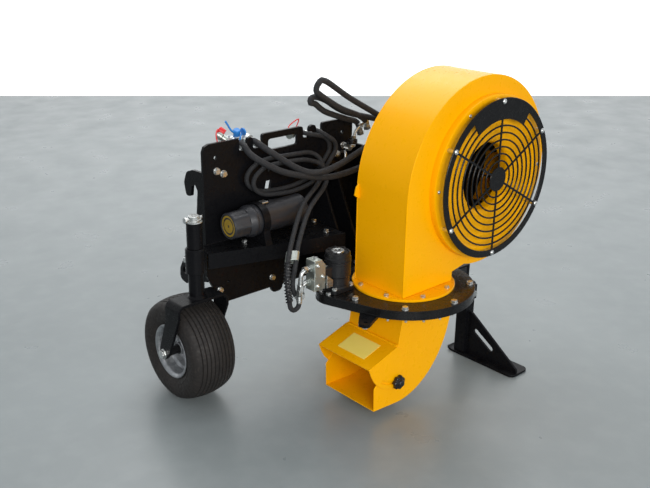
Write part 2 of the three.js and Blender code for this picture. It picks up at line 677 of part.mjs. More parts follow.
function hoodKnob() {
  const [x, z] = [KNOB.x - TURRET.x, KNOB.z];
  const face = -CHUTE.half - 0.5 - SHEET - 0.5;
  const lobes = 7;
  const star = Array.from({ length: lobes * 4 }, (_, i) => {
    const angle = (i * 2 * Math.PI) / (lobes * 4);
    const radius = KNOB.radius - 2.5 + 2.5 * Math.cos(angle * lobes);
    return new THREE.Vector2(x + radius * Math.cos(angle), z + radius * Math.sin(angle));
  });
  return join(wall(star, face - 14, 14), rodY(x, z, 11, face - 22, face - 13, 14),
    rodY(x, z, 3.8, face - 1, -CHUTE.half + 8, 12));
}

// ---- Parking leg ----

function legSocket(group) {
  const { half, socketLow, socketHigh, clamp } = LEG;
  const clear = half + 0.4;
  const out = clear + 3.6;
  const sleeve = slab(rectangle(-out, -out, out, out), socketLow, socketHigh - socketLow,
    [rectangle(-clear, -clear, clear, clear)]);
  const bracket = block(ARM.right + GAP - LEG.x, -out, socketLow, -out + 0.5, out, ARM.high);
  const clampHole = rodY(0, clamp, 6, -out - 10, out + 10, 12);
  piece('leg_socket', black, cut(join(sleeve, bracket), clampHole), group);
  const bolt = rodY(0, clamp, 5.6, -out - 4, out + 12, 12);
  const head = rodY(0, clamp, 11, -out - 12, -out - 1, 6);
  piece('leg_clamp_bolt', zinc, join(bolt, head), group);
}

// The post slides in its socket; the clamp bolt passes through a long slot in its front and rear walls.
function legPost(group) {
  const { half, top, clamp, travel } = LEG;
  const { toe, heel, inner, outer, thick: plate } = FOOT;
  const tube = slab(rectangle(-half, -half, half, half), plate + GAP, top - plate - GAP,
    [rectangle(-half + 4, -half + 4, half - 4, half - 4)]);
  const play = 6.4;
  const slot = outline([[-play, clamp - travel - play, play - 0.1], [play, clamp - travel - play, play - 0.1],
    [play, clamp + play, play - 0.1], [-play, clamp + play, play - 0.1]]);
  piece('leg_post', black, cut(tube, wall(slot, -half - 5, 2 * half + 10)), group);
  const side = outline([[toe, 0], [26, 0], [heel - 1, 6], [heel - 1, 14], [26, plate], [toe, plate]]);
  const plan = outline([[inner, toe, 20], [outer, toe, 20], [outer, heel, 8], [inner, heel, 8]], 4);
  piece('leg_foot', black, overlap(cheek(side, inner - 1, outer - inner + 2), slab(plan, -1, 20)), group);
  const back = -half - GAP;
  const gusset = outline([[toe + 4, plate + GAP], [back, plate + GAP], [back, 158], [-34, 156, 6],
    [toe + 4, 20, 4]]);
  const slit = outline([[-52, 108, 8], [-130, 59, 8], [-120, 43, 8], [-42, 92, 8]]);
  piece('leg_gusset', black, cheek(gusset, -4, 8, [slit]), group);
}

// ---- Assembly ----

hitchPlate();
hookPlates();
beam();
kingpinHousing();
turretSupport();
documentTube();
caster();

const turret = assembly(TURRET.x, TURRET.y, 0);
turretHousing(turret);
steeringDrive(turret);
steeringValve(turret);
piece('chute_flange', yellow, chuteFlange(), turret);
piece('ring_gear', gearSteel,
  slab(gearOutline(GEAR.ringTeeth, THREE.MathUtils.radToDeg(MOTOR_TURN)), GEAR.low, GEAR.thick,
    [circle(0, 0, 136, 40)]), turret);
piece('chute_duct', yellow, chuteDuct(), turret);
piece('hood', yellow, hood(), turret);
piece('hood_knob', plastic, hoodKnob(), turret);

const fan = assembly(FAN.x, 0, FAN.z);
volute(fan);
inlet(fan);
fanRotor(fan);
fanMotor(fan);

hydraulicLines();
coupler('coupler_left', -151);
coupler('coupler_right', -100);
const leg = assembly(LEG.x, LEG.y, 0);
legSocket(leg);
legPost(leg);

// The box's middle comes over the origin, with the floor at z = 0.
const middle = new THREE.Box3().setFromObject(model).getCenter(new THREE.Vector3());
model.position.set(-middle.x, -middle.y, 0);

export default model;
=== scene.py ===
"""Looks for the hitch-mounted leaf blower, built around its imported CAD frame.

Lengths are millimetres from the floor below the middle of the hitch plate's rear face, turned into the row
frame's metres by at(). +X runs along the plate, -Y is the front and +Z is up.
"""

import math

import bmesh
import bpy
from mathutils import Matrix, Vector
from mathutils.geometry import tessellate_polygon


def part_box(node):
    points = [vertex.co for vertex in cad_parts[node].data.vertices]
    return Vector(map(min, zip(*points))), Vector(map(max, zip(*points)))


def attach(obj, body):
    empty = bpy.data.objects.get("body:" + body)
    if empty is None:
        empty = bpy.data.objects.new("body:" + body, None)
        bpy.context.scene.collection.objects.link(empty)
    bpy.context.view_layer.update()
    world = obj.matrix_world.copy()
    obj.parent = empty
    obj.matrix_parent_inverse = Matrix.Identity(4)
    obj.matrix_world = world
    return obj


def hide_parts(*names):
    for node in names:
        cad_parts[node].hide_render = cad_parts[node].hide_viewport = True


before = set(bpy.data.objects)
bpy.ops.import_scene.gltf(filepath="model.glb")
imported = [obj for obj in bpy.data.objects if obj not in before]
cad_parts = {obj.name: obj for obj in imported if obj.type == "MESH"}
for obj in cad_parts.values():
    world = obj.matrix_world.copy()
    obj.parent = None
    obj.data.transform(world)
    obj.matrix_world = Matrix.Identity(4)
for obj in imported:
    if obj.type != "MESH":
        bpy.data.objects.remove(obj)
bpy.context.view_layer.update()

MM = 0.001
PLATE_LOW, PLATE_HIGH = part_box("hitch_plate")
ORIGIN = Vector(((PLATE_LOW.x + PLATE_HIGH.x) / 2, PLATE_HIGH.y, 0))


def at(x, y, z):
    """A place given in millimetres from the plate's foot, in the row frame's metres."""
    return ORIGIN + Vector((x, y, z)) * MM


def box_mm(node):
    """Lowest and highest corner of a CAD node, in millimetres from the plate's foot."""
    low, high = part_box(node)
    return (low - ORIGIN) / MM, (high - ORIGIN) / MM


def middle_mm(node):
    """Middle of a CAD node's box, in millimetres from the plate's foot."""
    return tuple((low + high) / 2 for low, high in zip(*box_mm(node)))


def corners(x, y):
    """The four corners of a rectangle about the origin, from its half sides."""
    return (-x, -y), (x, -y), (x, y), (-x, y)


def spot(x, y, radius, deg):
    """The point at a distance and an angle from a centre."""
    angle = math.radians(deg)
    return Vector((x + radius * math.cos(angle), y + radius * math.sin(angle)))


def spots(x, y, radius, count, start=0):
    """Evenly spaced points round a circle, from a starting angle in degrees."""
    return [spot(x, y, radius, start + 360 / count * i) for i in range(count)]


RIGHT, LEFT, BACK, FRONT, UP, DOWN = (1, 0, 0), (-1, 0, 0), (0, 1, 0), (0, -1, 0), (0, 0, 1), (0, 0, -1)

# ---- Driving dimensions, read from the frame ----

GUARD_LOW, GUARD_HIGH = box_mm("inlet_guard")
GUARD_RADIUS = (GUARD_HIGH.x - GUARD_LOW.x) / 2
FAN_X, _, FAN_Z = middle_mm("inlet_guard")
CONE_FRONT = box_mm("inlet_cone")[0].y
VOLUTE_FRONT, VOLUTE_FOOT = box_mm("volute_front")[0].yz
VOLUTE_BACK = box_mm("volute_back")[1].y
FLANGE_LOW, FLANGE_HIGH = box_mm("volute_flange")
TURRET_X, TURRET_Y, _ = middle_mm("volute_flange")
TURRET_BOTTOM = box_mm("turret_bottom_plate")[0].z
TURRET_TOP = box_mm("turret_top_plate")[1].z
MOTOR_X, MOTOR_Y, _ = middle_mm("steering_motor_cover")
TYRE_LOW, TYRE_HIGH = box_mm("tyre")
WHEEL_X, WHEEL_Y, _ = middle_mm("tyre")
WHEEL_RADIUS = (TYRE_HIGH.z - TYRE_LOW.z) / 2
WHEEL_HALF = (TYRE_HIGH.x - TYRE_LOW.x) / 2
WHEEL_CENTRE = (WHEEL_X, WHEEL_Y, WHEEL_RADIUS)
PIN_X, PIN_Y, _ = middle_mm("kingpin")
TUBE_LOW, TUBE_HIGH = box_mm("document_tube")
_, TUBE_Y, TUBE_Z = middle_mm("document_tube")
TUBE_RADIUS = (TUBE_HIGH.z - TUBE_LOW.z) / 2
CHUTE_LOW, CHUTE_HIGH = box_mm("chute_duct")
KNOB_LOW, KNOB_HIGH = box_mm("hood_knob")
KNOB_X, _, KNOB_Z = middle_mm("hood_knob")
SHEET = 3

# ---- Materials ----


class Finish:
    """A material whose colour, roughness and relief come from procedural nodes in object space."""

    def __init__(self, name, roughness, metallic=0.0):
        self.material = bpy.data.materials.new(name)
        self.material.use_nodes = True
        self.tree = self.material.node_tree
        self.shader = self.tree.nodes["Principled BSDF"]
        self.shader.inputs["Roughness"].default_value = roughness
        self.shader.inputs["Metallic"].default_value = metallic
        self.place = self.tree.nodes.new("ShaderNodeTexCoord").outputs["Object"]

    def link(self, source, target):
        self.tree.links.new(source, target)

    def node(self, kind, **inputs):
        """A node of one kind, with inputs set by name; an underscore stands for a space."""
        node = self.tree.nodes.new("ShaderNode" + kind)
        for name, value in inputs.items():
            self.feed(value, node.inputs[name.replace("_", " ")])
        return node

    def feed(self, value, socket):
        """Sets a socket to a plain value or a colour, or links another node's output to it."""
        if isinstance(value, bpy.types.NodeSocket):
            self.link(value, socket)
        elif isinstance(value, tuple) and socket.type == "RGBA":
            socket.default_value = (*value, 1.0)
        else:
            socket.default_value = value

    def noise(self, scale, detail=3.0, stretch=None):
        place = self.place
        if stretch:
            place = self.node("Mapping", Scale=stretch, Vector=place).outputs["Vector"]
        return self.node("TexNoise", Scale=scale, Detail=detail, Vector=place).outputs["Fac"]

    def cells(self, scale):
        return self.node("TexVoronoi", Scale=scale, Vector=self.place).outputs["Color"]

    def ramp(self, source, low, high, start=0.0, end=1.0):
        node = self.node("MapRange", Value=source, From_Min=low, From_Max=high, To_Min=start, To_Max=end)
        return node.outputs["Result"]

    def times(self, a, b):
        node = self.node("Math")
        node.operation = "MULTIPLY"
        self.link(a, node.inputs[0])
        self.link(b, node.inputs[1])
        return node.outputs[0]

    def mix(self, factor, a, b):
        node = self.tree.nodes.new("ShaderNodeMix")
        node.data_type = "RGBA"
        for value, name in ((factor, "Factor"), (a, "A"), (b, "B")):
            self.feed(value, node.inputs[name])
        return node.outputs["Result"]

    def upward(self):
        """1 on faces that look up, 0 on walls and undersides."""
        geometry = self.node("NewGeometry")
        split = self.node("SeparateXYZ", Vector=geometry.outputs["Normal"])
        return self.ramp(split.outputs["Z"], 0.6, 1.0)

    def colour(self, source):
        self.link(source, self.shader.inputs["Base Color"])

    def rough(self, source):
        self.link(source, self.shader.inputs["Roughness"])

    def relief(self, source, strength, depth_mm):
        node = self.node("Bump", Strength=strength, Distance=depth_mm * MM, Height=source)
        self.link(node.outputs["Normal"], self.shader.inputs["Normal"])


def coated(name, dark, light, roughness, peel=520, dust=(0.11, 0.11, 0.11), dust_and_painted_top_light_share=0.12, tint=None,
           gloss=0.35):
    """Sprayed or powder-coated metal: orange peel, slow colour drift, and a top colour on what looks up: real
    dust on the black finishes, painted top light on the yellow enamel.
    """
    finish = Finish(name, roughness)
    finish.shader.inputs["Specular IOR Level"].default_value = gloss
    if tint:
        finish.shader.inputs["Specular Tint"].default_value = (*tint, 1)
    drift = finish.mix(finish.noise(9), dark, light)
    # Upward faces drift toward the dust colour: real grey dust on the black finishes, painted top light (a
    # paler yellow) on the yellow enamel.
    dust_and_painted_top_light = finish.times(finish.upward(), finish.ramp(finish.noise(38, 6), 0.35, 0.75, 0.0, dust_and_painted_top_light_share))
    finish.colour(finish.mix(dust_and_painted_top_light, drift, dust))
    finish.rough(finish.ramp(finish.noise(60, 5), 0.3, 0.7, roughness - 0.06, roughness + 0.1))
    finish.relief(finish.noise(peel, 2), 0.10, 0.3)
    return finish.material


def plated(name, dark, light, roughness, scale=140):
    """Zinc or bare metal with cloudy plating and fine scratches along one way."""
    finish = Finish(name, roughness, 1.0)
    finish.colour(finish.mix(finish.noise(scale, 5), dark, light))
    scratches = finish.noise(90, 6, (1.0, 12.0, 12.0))
    finish.rough(finish.ramp(scratches, 0.3, 0.7, roughness - 0.1, roughness + 0.14))
    finish.relief(scratches, 0.12, 0.2)
    return finish.material


def moulded(name, dark, light, roughness, grain=900):
    """Grained plastic."""
    finish = Finish(name, roughness)
    finish.colour(finish.mix(finish.noise(30, 4), dark, light))
    finish.rough(finish.ramp(finish.noise(130, 4), 0.3, 0.7, roughness - 0.08, roughness + 0.1))
    finish.relief(finish.noise(grain, 2), 0.25, 0.3)
    return finish.material


def tyre_rubber():
    """Brown-black rubber with dry dust worked into it and faint scuffs across the ribs."""
    finish = Finish("tyre_rubber", 0.82)
    base = finish.mix(finish.noise(22, 6), (0.010, 0.0095, 0.0095), (0.026, 0.022, 0.020))
    scuffs = finish.ramp(finish.noise(60, 8, (1.0, 3.0, 3.0)), 0.52, 0.75, 0.0, 0.45)
    finish.colour(finish.mix(scuffs, base, (0.060, 0.050, 0.042)))
    finish.shader.inputs["Specular IOR Level"].default_value = 0.3
    finish.rough(finish.ramp(finish.noise(110, 5), 0.3, 0.7, 0.5, 0.8))
    finish.relief(finish.noise(420, 6), 0.45, 0.6)
    return finish.material


def spangled_rim():
    """Galvanised steel: flat crystal spangles of slightly different greys."""
    finish = Finish("galvanised_rim", 0.42, 0.85)
    spangle = finish.ramp(finish.cells(95), 0.0, 1.0)
    finish.colour(finish.mix(spangle, (0.24, 0.25, 0.265), (0.46, 0.475, 0.49)))
    finish.rough(finish.ramp(finish.noise(60, 5), 0.3, 0.7, 0.34, 0.55))
    finish.relief(finish.noise(240, 4), 0.15, 0.3)
    return finish.material


def wrapped_hose(name, dark, light, turns, lie):
    """Cloth-wrapped rubber hose: two diagonal weaves in the tube's own coordinates."""
    finish = Finish(name, 0.78)
    coordinates = finish.node("TexCoord")
    heights = []
    for direction in (1, -1):
        mapping = finish.node("Mapping", Rotation=(0, 0, direction * lie), Vector=coordinates.outputs["UV"])
        wave = finish.node("TexWave", Scale=turns, Distortion=0.6, Vector=mapping.outputs["Vector"])
        heights.append(wave.outputs["Fac"])
    weave = finish.times(*heights)
    finish.colour(finish.mix(weave, dark, light))
    finish.rough(finish.ramp(finish.noise(80, 5), 0.3, 0.7, 0.62, 0.88))
    finish.relief(weave, 0.5, 0.6)
    return finish.material


def floor_paint():
    """Pale blue-grey floor with soft cloudy wear."""
    finish = Finish("floor_paint", 0.42)
    clouds = finish.mix(finish.noise(1.6, 6), (0.185, 0.210, 0.214), (0.235, 0.262, 0.266))
    worn = finish.ramp(finish.noise(14, 8), 0.45, 0.8, 0.0, 0.3)
    finish.colour(finish.mix(worn, clouds, (0.28, 0.305, 0.31)))
    finish.rough(finish.ramp(finish.noise(5, 5), 0.3, 0.7, 0.26, 0.40))
    return finish.material


def wall_paint():
    finish = Finish("wall_paint", 0.9)
    white = finish.mix(finish.noise(2, 4), (0.90, 0.91, 0.92), (0.96, 0.96, 0.96))
    finish.colour(white)
    finish.link(white, finish.shader.inputs["Emission Color"])
    finish.shader.inputs["Emission Strength"].default_value = 0.75
    return finish.material


BLACK = coated("black_powder_coat", (0.0035, 0.0036, 0.0045), (0.0070, 0.0072, 0.0084), 0.28,
               dust_and_painted_top_light_share=0.06, gloss=0.10)
GLOSS_BLACK = coated("turret_black", (0.004, 0.004, 0.0045), (0.008, 0.008, 0.0085), 0.22, peel=420,
                     dust_and_painted_top_light_share=0.03, gloss=0.26)
# The dust colour given here is a paler yellow: painted top light on upward faces, not dust.
YELLOW = coated("orange_yellow_enamel", (0.93, 0.415, 0.0006), (0.97, 0.450, 0.0010), 0.30, peel=380,
                dust=(0.95, 0.52, 0.02), dust_and_painted_top_light_share=0.06, tint=(1.0, 0.62, 0.10), gloss=0.38)
MOTOR_BLACK = coated("black_motor_enamel", (0.006, 0.006, 0.007), (0.012, 0.012, 0.013), 0.30, peel=240)
ZINC = plated("bright_zinc", (0.50, 0.52, 0.52), (0.78, 0.79, 0.77), 0.30)
VALVE_ZINC = plated("valve_zinc", (0.42, 0.46, 0.42), (0.66, 0.70, 0.65), 0.38, scale=60)
STEEL = plated("oiled_steel", (0.22, 0.22, 0.23), (0.36, 0.36, 0.36), 0.34)
RUBBER = tyre_rubber()
RIM = spangled_rim()
HOSE = wrapped_hose("hose_cloth", (0.008, 0.0085, 0.010), (0.032, 0.034, 0.039), 26.0, 0.75)
TUBE_PLASTIC = moulded("grey_black_plastic", (0.013, 0.014, 0.017), (0.026, 0.027, 0.032), 0.40)
KNOB_PLASTIC = moulded("knob_plastic", (0.006, 0.006, 0.007), (0.014, 0.014, 0.016), 0.24, 300)
SLIDE_PLASTIC = moulded("pale_slide_plastic", (0.62, 0.61, 0.57), (0.74, 0.73, 0.69), 0.5)
RED_PLASTIC = moulded("red_cap_plastic", (0.60, 0.015, 0.02), (0.74, 0.03, 0.03), 0.4)
BLUE_PLASTIC = moulded("blue_cap_plastic", (0.015, 0.16, 0.52), (0.03, 0.26, 0.68), 0.4)
LABEL = moulded("pale_yellow_label", (0.93, 0.72, 0.12), (0.98, 0.80, 0.20), 0.35, 600)
DISC_INK = moulded("dull_yellow_disc", (0.22, 0.14, 0.012), (0.42, 0.28, 0.02), 0.5, 240)

# ---- Shapes ----


def corners_of(points):
    """Rounded outline from corners (x, y) or (x, y, fillet radius)."""
    outline = []
    count = len(points)
    for i, corner in enumerate(points):
        here = Vector(corner[:2])
        radius = corner[2] if len(corner) > 2 else 0
        if not radius:
            outline.append(here)
            continue
        before = (Vector(points[i - 1][:2]) - here).normalized()
        after = (Vector(points[(i + 1) % count][:2]) - here).normalized()
        half = math.acos(max(-1.0, min(1.0, before.dot(after)))) / 2
        centre = here + (before + after).normalized() * radius / math.sin(half)
        start = here + before * radius / math.tan(half) - centre
        turn = (math.pi - 2 * half) * (1 if after.cross(before) > 0 else -1)
        steps = max(3, int(abs(turn) / math.radians(12)))
        for step in range(steps + 1):
            angle = turn * step / steps
            spun = Vector((start.x * math.cos(angle) - start.y * math.sin(angle),
                           start.x * math.sin(angle) + start.y * math.cos(angle)))
            outline.append(centre + spun)
    return outline


def arc(x, y, radius, start, end, step=4.0):
    """Points of an arc, in degrees, ends included."""
    steps = max(2, int(abs(end - start) / step))
    return [spot(x, y, radius, start + (end - start) * i / steps) for i in range(steps + 1)]


def circle(x, y, radius, step=4.0):
    return arc(x, y, radius, 0, 360, step)[:-1]


def rectangle(left, low, right, high, radius=0):
    outline = ((left, low), (right, low), (right, high), (left, high))
    return corners_of([(x, y, radius) for x, y in outline])


def area(loop):
    return sum(a.cross(b) for a, b in zip(loop, loop[1:] + loop[:1])) / 2


def inset(loop, distance):
    """The loop moved to its left by a distance."""
    moved = []
    count = len(loop)
    for i, here in enumerate(loop):
        before = (here - loop[i - 1]).normalized()
        after = (loop[(i + 1) % count] - here).normalized()
        side = Vector((-(before.y + after.y), before.x + after.x))
        if side.length < 1e-6:
            side = Vector((-after.y, after.x))
        side.normalize()
        cosine = max(0.4, side.dot(Vector((-after.y, after.x))))
        moved.append(here + side * distance / cosine)
    return moved


PLANES = {
    "XY": lambda p, h: Vector((p.x, p.y, h)),
    "XZ": lambda p, h: Vector((p.x, h, p.y)),
    "YZ": lambda p, h: Vector((h, p.x, p.y)),
}


def placed(name, data):
    """A new object in the scene that shows a mesh, a lamp or a camera."""
    obj = bpy.data.objects.new(name, data)
    bpy.context.scene.collection.objects.link(obj)
    return obj


class Shape:
    """Vertices and faces gathered for one piece, in millimetres from the plate's foot."""

    def __init__(self):
        self.verts, self.faces, self.slots, self.uvs = [], [], [], []

    def add(self, verts, faces, slot=0, uvs=None):
        base = len(self.verts)
        self.verts += [Vector(v) for v in verts]
        self.uvs += uvs if uvs else [(0.0, 0.0)] * len(verts)
        self.faces += [[base + i for i in face] for face in faces]
        self.slots += [slot] * len(faces)

    def grid(self, rows, closed_rows, closed_columns, slot=0, uvs=None):
        """Quads between successive rows of points; each row has the same count."""
        height, width = len(rows), len(rows[0])
        faces = []
        for r in range(height if closed_rows else height - 1):
            for c in range(width if closed_columns else width - 1):
                below, right = (r + 1) % height, (c + 1) % width
                faces.append([r * width + c, r * width + right, below * width + right, below * width + c])
        self.add([p for row in rows for p in row], faces, slot, uvs)

    def plate(self, loops, plane, low, high, edge=0.6, slot=0):
        """An extruded outline with holes, every edge chamfered."""
        turned = []
        for i, loop in enumerate(loops):
            anticlockwise = area(loop) > 0
            turned.append(loop if anticlockwise == (i == 0) else loop[::-1])
        place = PLANES[plane]
        steps = [(low, edge), (low + edge, 0), (high - edge, 0), (high, edge)]
        rings = [[inset(loop, depth) if depth else loop for loop in turned] for _, depth in steps]
        for index in range(len(turned)):
            rows = [[place(p, height) for p in rings[k][index]] for k, (height, _) in enumerate(steps)]
            self.grid(rows, False, True, slot)
        for k, height in ((0, low), (3, high)):
            flat = [[Vector((p.x, p.y, 0)) for p in loop] for loop in rings[k]]
            triangles = tessellate_polygon(flat)
            verts = [place(p, height) for loop in rings[k] for p in loop]
            self.add(verts, [list(t) for t in triangles], slot)

    def block(self, low, high, edge, slot=0):
        self.plate([rectangle(low[0], low[1], high[0], high[1])], "XY", low[2], high[2], edge, slot)

    def turned(self, profile, centre, axis, segments=64, slot=0, closed=False, lobes=0, depth=0.0):
        """A profile of (radius, distance along the axis) spun about a line; lobes flute it."""
        forward = Vector(axis).normalized()
        side = forward.orthogonal().normalized()
        up = forward.cross(side)
        rows = []
        for radius, along in profile:
            row = []
            for i in range(segments):
                angle = 2 * math.pi * i / segments
                reach = radius * (1 - depth * (1 - math.cos(lobes * angle)) / 2)
                row.append(Vector(centre) + forward * along
                           + (side * math.cos(angle) + up * math.sin(angle)) * reach)
            rows.append(row)
        self.grid(rows, closed, True, slot)

    def tube(self, points, radius, sides=14, slot=0, spacing=9.0):
        """A round tube along a smooth curve, with its ends closed and cloth coordinates in metres."""
        path = smooth(points, spacing)
        normal = (path[1] - path[0]).normalized().orthogonal().normalized()
        rows, uvs, travelled = [], [], 0.0
        for i, here in enumerate(path):
            ahead = path[min(i + 1, len(path) - 1)] - path[max(i - 1, 0)]
            ahead.normalize()
            normal = (normal - ahead * normal.dot(ahead)).normalized()
            other = ahead.cross(normal)
            if i:
                travelled += (here - path[i - 1]).length
            row = []
            for k in range(sides + 1):
                angle = 2 * math.pi * k / sides
                row.append(here + (normal * math.cos(angle) + other * math.sin(angle)) * radius)
                uvs.append((k / sides * 6.0, travelled / radius))
            rows.append(row)
        self.grid(rows, False, False, slot, uvs)
        for row in (rows[0], rows[-1]):
            self.add(row[:-1], [list(range(sides))], slot)

    def bolt(self, place, axis, across=17.0, washer=True, slot=0):
        """A chamfered hex head on a washer, standing on a surface at place and pointing along axis."""
        up = Vector(axis).normalized()
        start = 0.0
        if washer:
            outer = across * 0.62
            start = 2.1
            ring = [(0.2, 0), (outer, 0), (outer, 1.6), (outer - 0.5, start), (0.2, start)]
            self.turned(ring, place, up, 28, slot)
        corner = across / math.sqrt(3)
        tall = across * 0.40
        rows = [(corner, start), (corner, start + tall * 0.78), (corner * 0.86, start + tall),
                (0.2, start + tall)]
        self.turned(rows, place, up, 6, slot)

    def button(self, place, axis, radius=7.0, slot=0):
        """A low domed screw head with a socket."""
        dome = [(radius, 0), (radius, 0.8)]
        dome += [(radius * math.cos(math.radians(a)), 0.8 + radius * 0.5 * math.sin(math.radians(a)))
                 for a in (20, 40, 60)]
        dome += [(radius * 0.36, radius * 0.48), (radius * 0.34, radius * 0.12), (0.2, radius * 0.12)]
        self.turned(dome, place, Vector(axis).normalized(), 24, slot)

    def piece(self, name, materials, body, stands_for=(), smooth_deg=32):
        mesh = bpy.data.meshes.new(name)
        mesh.from_pydata([at(*v) for v in self.verts], [], self.faces)
        for material in materials if isinstance(materials, list) else [materials]:
            mesh.materials.append(material)
        mesh.polygons.foreach_set("material_index", self.slots)
        if any(u or v for u, v in self.uvs):
            layer = mesh.uv_layers.new(name="UVMap")
            for loop in mesh.loops:
                layer.data[loop.index].uv = self.uvs[loop.vertex_index]
        fix_normals(mesh)
        mesh.polygons.foreach_set("use_smooth", [True] * len(mesh.polygons))
        mesh.set_sharp_from_angle(angle=math.radians(smooth_deg))
        obj = placed(name, mesh)
        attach(obj, body)
        if stands_for:
            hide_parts(*stands_for)


def fix_normals(mesh):
    """Welds matching points and turns every face outwards."""
    work = bmesh.new()
    work.from_mesh(mesh)
    bmesh.ops.remove_doubles(work, verts=work.verts, dist=2e-6)
    bmesh.ops.recalc_face_normals(work, faces=work.faces)
    work.to_mesh(mesh)
    work.free()


def smooth(points, spacing):
    """Points at an even spacing along a Catmull-Rom curve through the given ones."""
    p = [Vector(q) for q in points]
    p = [2 * p[0] - p[1], *p, 2 * p[-1] - p[-2]]
    fine = []
    for i in range(1, len(p) - 2):
        steps = max(2, int((p[i + 1] - p[i]).length / spacing))
        for s in range(steps):
            t = s / steps
            fine.append(0.5 * (2 * p[i] + (p[i + 1] - p[i - 1]) * t
                               + (2 * p[i - 1] - 5 * p[i] + 4 * p[i + 1] - p[i + 2]) * t * t
                               + (3 * p[i] - p[i - 1] - 3 * p[i + 1] + p[i + 2]) * t ** 3))
    fine.append(p[-2])
    return fine


def carry(material, *nodes, width=0.9):
    """A CAD node that stays in view: its material, and softened edges on top of its own mesh."""
    for name in nodes:
        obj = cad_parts[name]
        obj.data.materials.clear()
        obj.data.materials.append(material)
        obj.data.polygons.foreach_set("use_smooth", [True] * len(obj.data.polygons))
        weld = obj.modifiers.new("weld", "WELD")
        weld.merge_threshold = 2e-6
        soften = obj.modifiers.new("soften", "BEVEL")
        soften.width = width * MM
        soften.segments = 2
        soften.limit_method = "ANGLE"
        soften.angle_limit = math.radians(34)
        weighted = obj.modifiers.new("shade", "WEIGHTED_NORMAL")
        weighted.keep_sharp = True


# ---- Hitch frame ----


def hitch_frame():
    carry(BLACK, "hitch_plate", "hook_plate_left", "hook_plate_right", "beam", "cross_tube", "side_arm",
          "turret_arm", "turret_rib_left", "turret_rib_right", "tube_saddle", "turret_lug")
    front = round(box_mm("hitch_plate")[0].y, 2)
    beam_top = round(box_mm("beam")[1].z, 2)
    hook_side = box_mm("hook_plate_right")[1].x
    corner_bolt, side_bolt, beam_bolt = 18, 17, 15
    bolts = Shape()
    for x, z in ((-251, 692), (-227, 680), (258, 688), (230, 664)):
        bolts.bolt((x, front, z), FRONT, corner_bolt)
    for x, z in ((-251, 692), (-227, 680), (251, 692), (227, 680)):
        bolts.bolt((x, 0, z), BACK, corner_bolt)
    for x, z in ((228, 545), (-252, 313), (-46, 300)):
        bolts.bolt((x, front, z), FRONT, side_bolt)
    for x, y in ((-150, -52), (96, -52), (60, -150), (-190, -58)):
        bolts.bolt((x, y, beam_top), UP, beam_bolt)
    for side in (-1, 1):
        bolts.bolt((side * hook_side, 112, 386), (side, 0, 0), side_bolt)
    bolts.piece("frame_bolts", ZINC, "frame")
    welds = Shape()
    for x in (-333, 98):
        welds.tube([(x, -12, beam_top + 1), (x, -60, beam_top + 1)], 2.2, 8)
    welds.tube([(x, front - 1.5, beam_top + 1.5) for x in (-330, -120, 96)], 2.4, 8)
    for x in (-284.5, 284.5):
        for z in (360, 470, 580):
            welds.tube([(x, 2.2, z), (x, 2.2, z + 55)], 2.4, 8)
    for x in (124, 132, 188, 196):
        welds.tube([(x, front - 1.5, z) for z in (345, 470, 630)], 2.0, 8)
    welds.piece("frame_welds", BLACK, "frame")


def upright_weld():
    """The weld bead that joins the plate's end to the upright sheet in front of it."""
    weld = Shape()
    low, high = box_mm("hitch_plate")
    foot, step, count, ripple = 345, 6, 58, 0.5
    beads = [(high.x + 0.8 + ripple * math.sin(i * 1.9), low.y - 0.6, foot + step * i) for i in range(count)]
    weld.tube(beads, 3.4, 8)
    weld.piece("upright_weld", BLACK, "frame")


def document_tube():
    """A screw-capped tube for papers: a fluted tapering cap, a collar, and a ribbed body."""
    centre = (0, TUBE_Y, TUBE_Z)
    radius = TUBE_RADIUS
    body = Shape()
    start = TUBE_LOW.x
    body.turned([(0.5, start), (radius - 1.5, start), (radius, start + 1.5), (radius, start + 20),
                 (radius - 1, start + 22), (radius - 1, -70), (radius - 2, -64), (radius - 2, 4),
                 (radius - 1, 6), (radius - 1, 10), (radius - 4, 14), (0.5, 15)], centre, RIGHT, 72)
    body.piece("document_tube_body", TUBE_PLASTIC, "frame", ["document_tube"])
    cap = Shape()
    left = box_mm("document_cap")[0].x
    grip, skirt = 41.0, radius + 2
    cap.turned([(0.5, left + 2.5), (grip - 8, left + 2.5), (grip - 7.4, left), (grip - 3.5, left),
                (grip - 0.8, left + 3)], centre, RIGHT, 96)
    cap.turned([(grip - 0.8, left + 3), (grip + 0.4, left + 12), (grip + 1.6, left + 56)],
               centre, RIGHT, 96, 0, False, 8, 0.05)
    cap.turned([(grip + 1.6, left + 56), (grip + 3.4, left + 59), (skirt - 1.5, left + 70),
                (skirt, left + 73), (skirt, left + 81), (skirt - 1.4, left + 83.5), (0.5, left + 83.5)],
               centre, RIGHT, 96)
    cap.piece("document_cap_cover", TUBE_PLASTIC, "document_cap", ["document_cap"])
    badge = Shape()
    for inner, outer in ((26.0, 32.0), (4.0, 21.0)):
        badge.turned([(inner, left + 2.3), (inner, left + 1.8), (outer, left + 1.8), (outer, left + 2.3)],
                     centre, RIGHT, 64, 0, True)
    badge.piece("document_cap_rings", DISC_INK, "document_cap")
    clasp = Shape()
    clasp.block((-150, TUBE_Y - 12, TUBE_Z + radius - 2), (-118, TUBE_Y + 10, TUBE_Z + radius + 4), 1.2)
    clasp.block((-146, TUBE_Y - 18, TUBE_Z + radius + 2), (-124, TUBE_Y + 4, TUBE_Z + radius + 6.5), 1.0, 1)
    clasp.piece("document_tube_clasp", [BLACK, ZINC], "frame")


# ---- Caster ----

PIN_BORE, AXLE_BORE = 17.6, 8.2


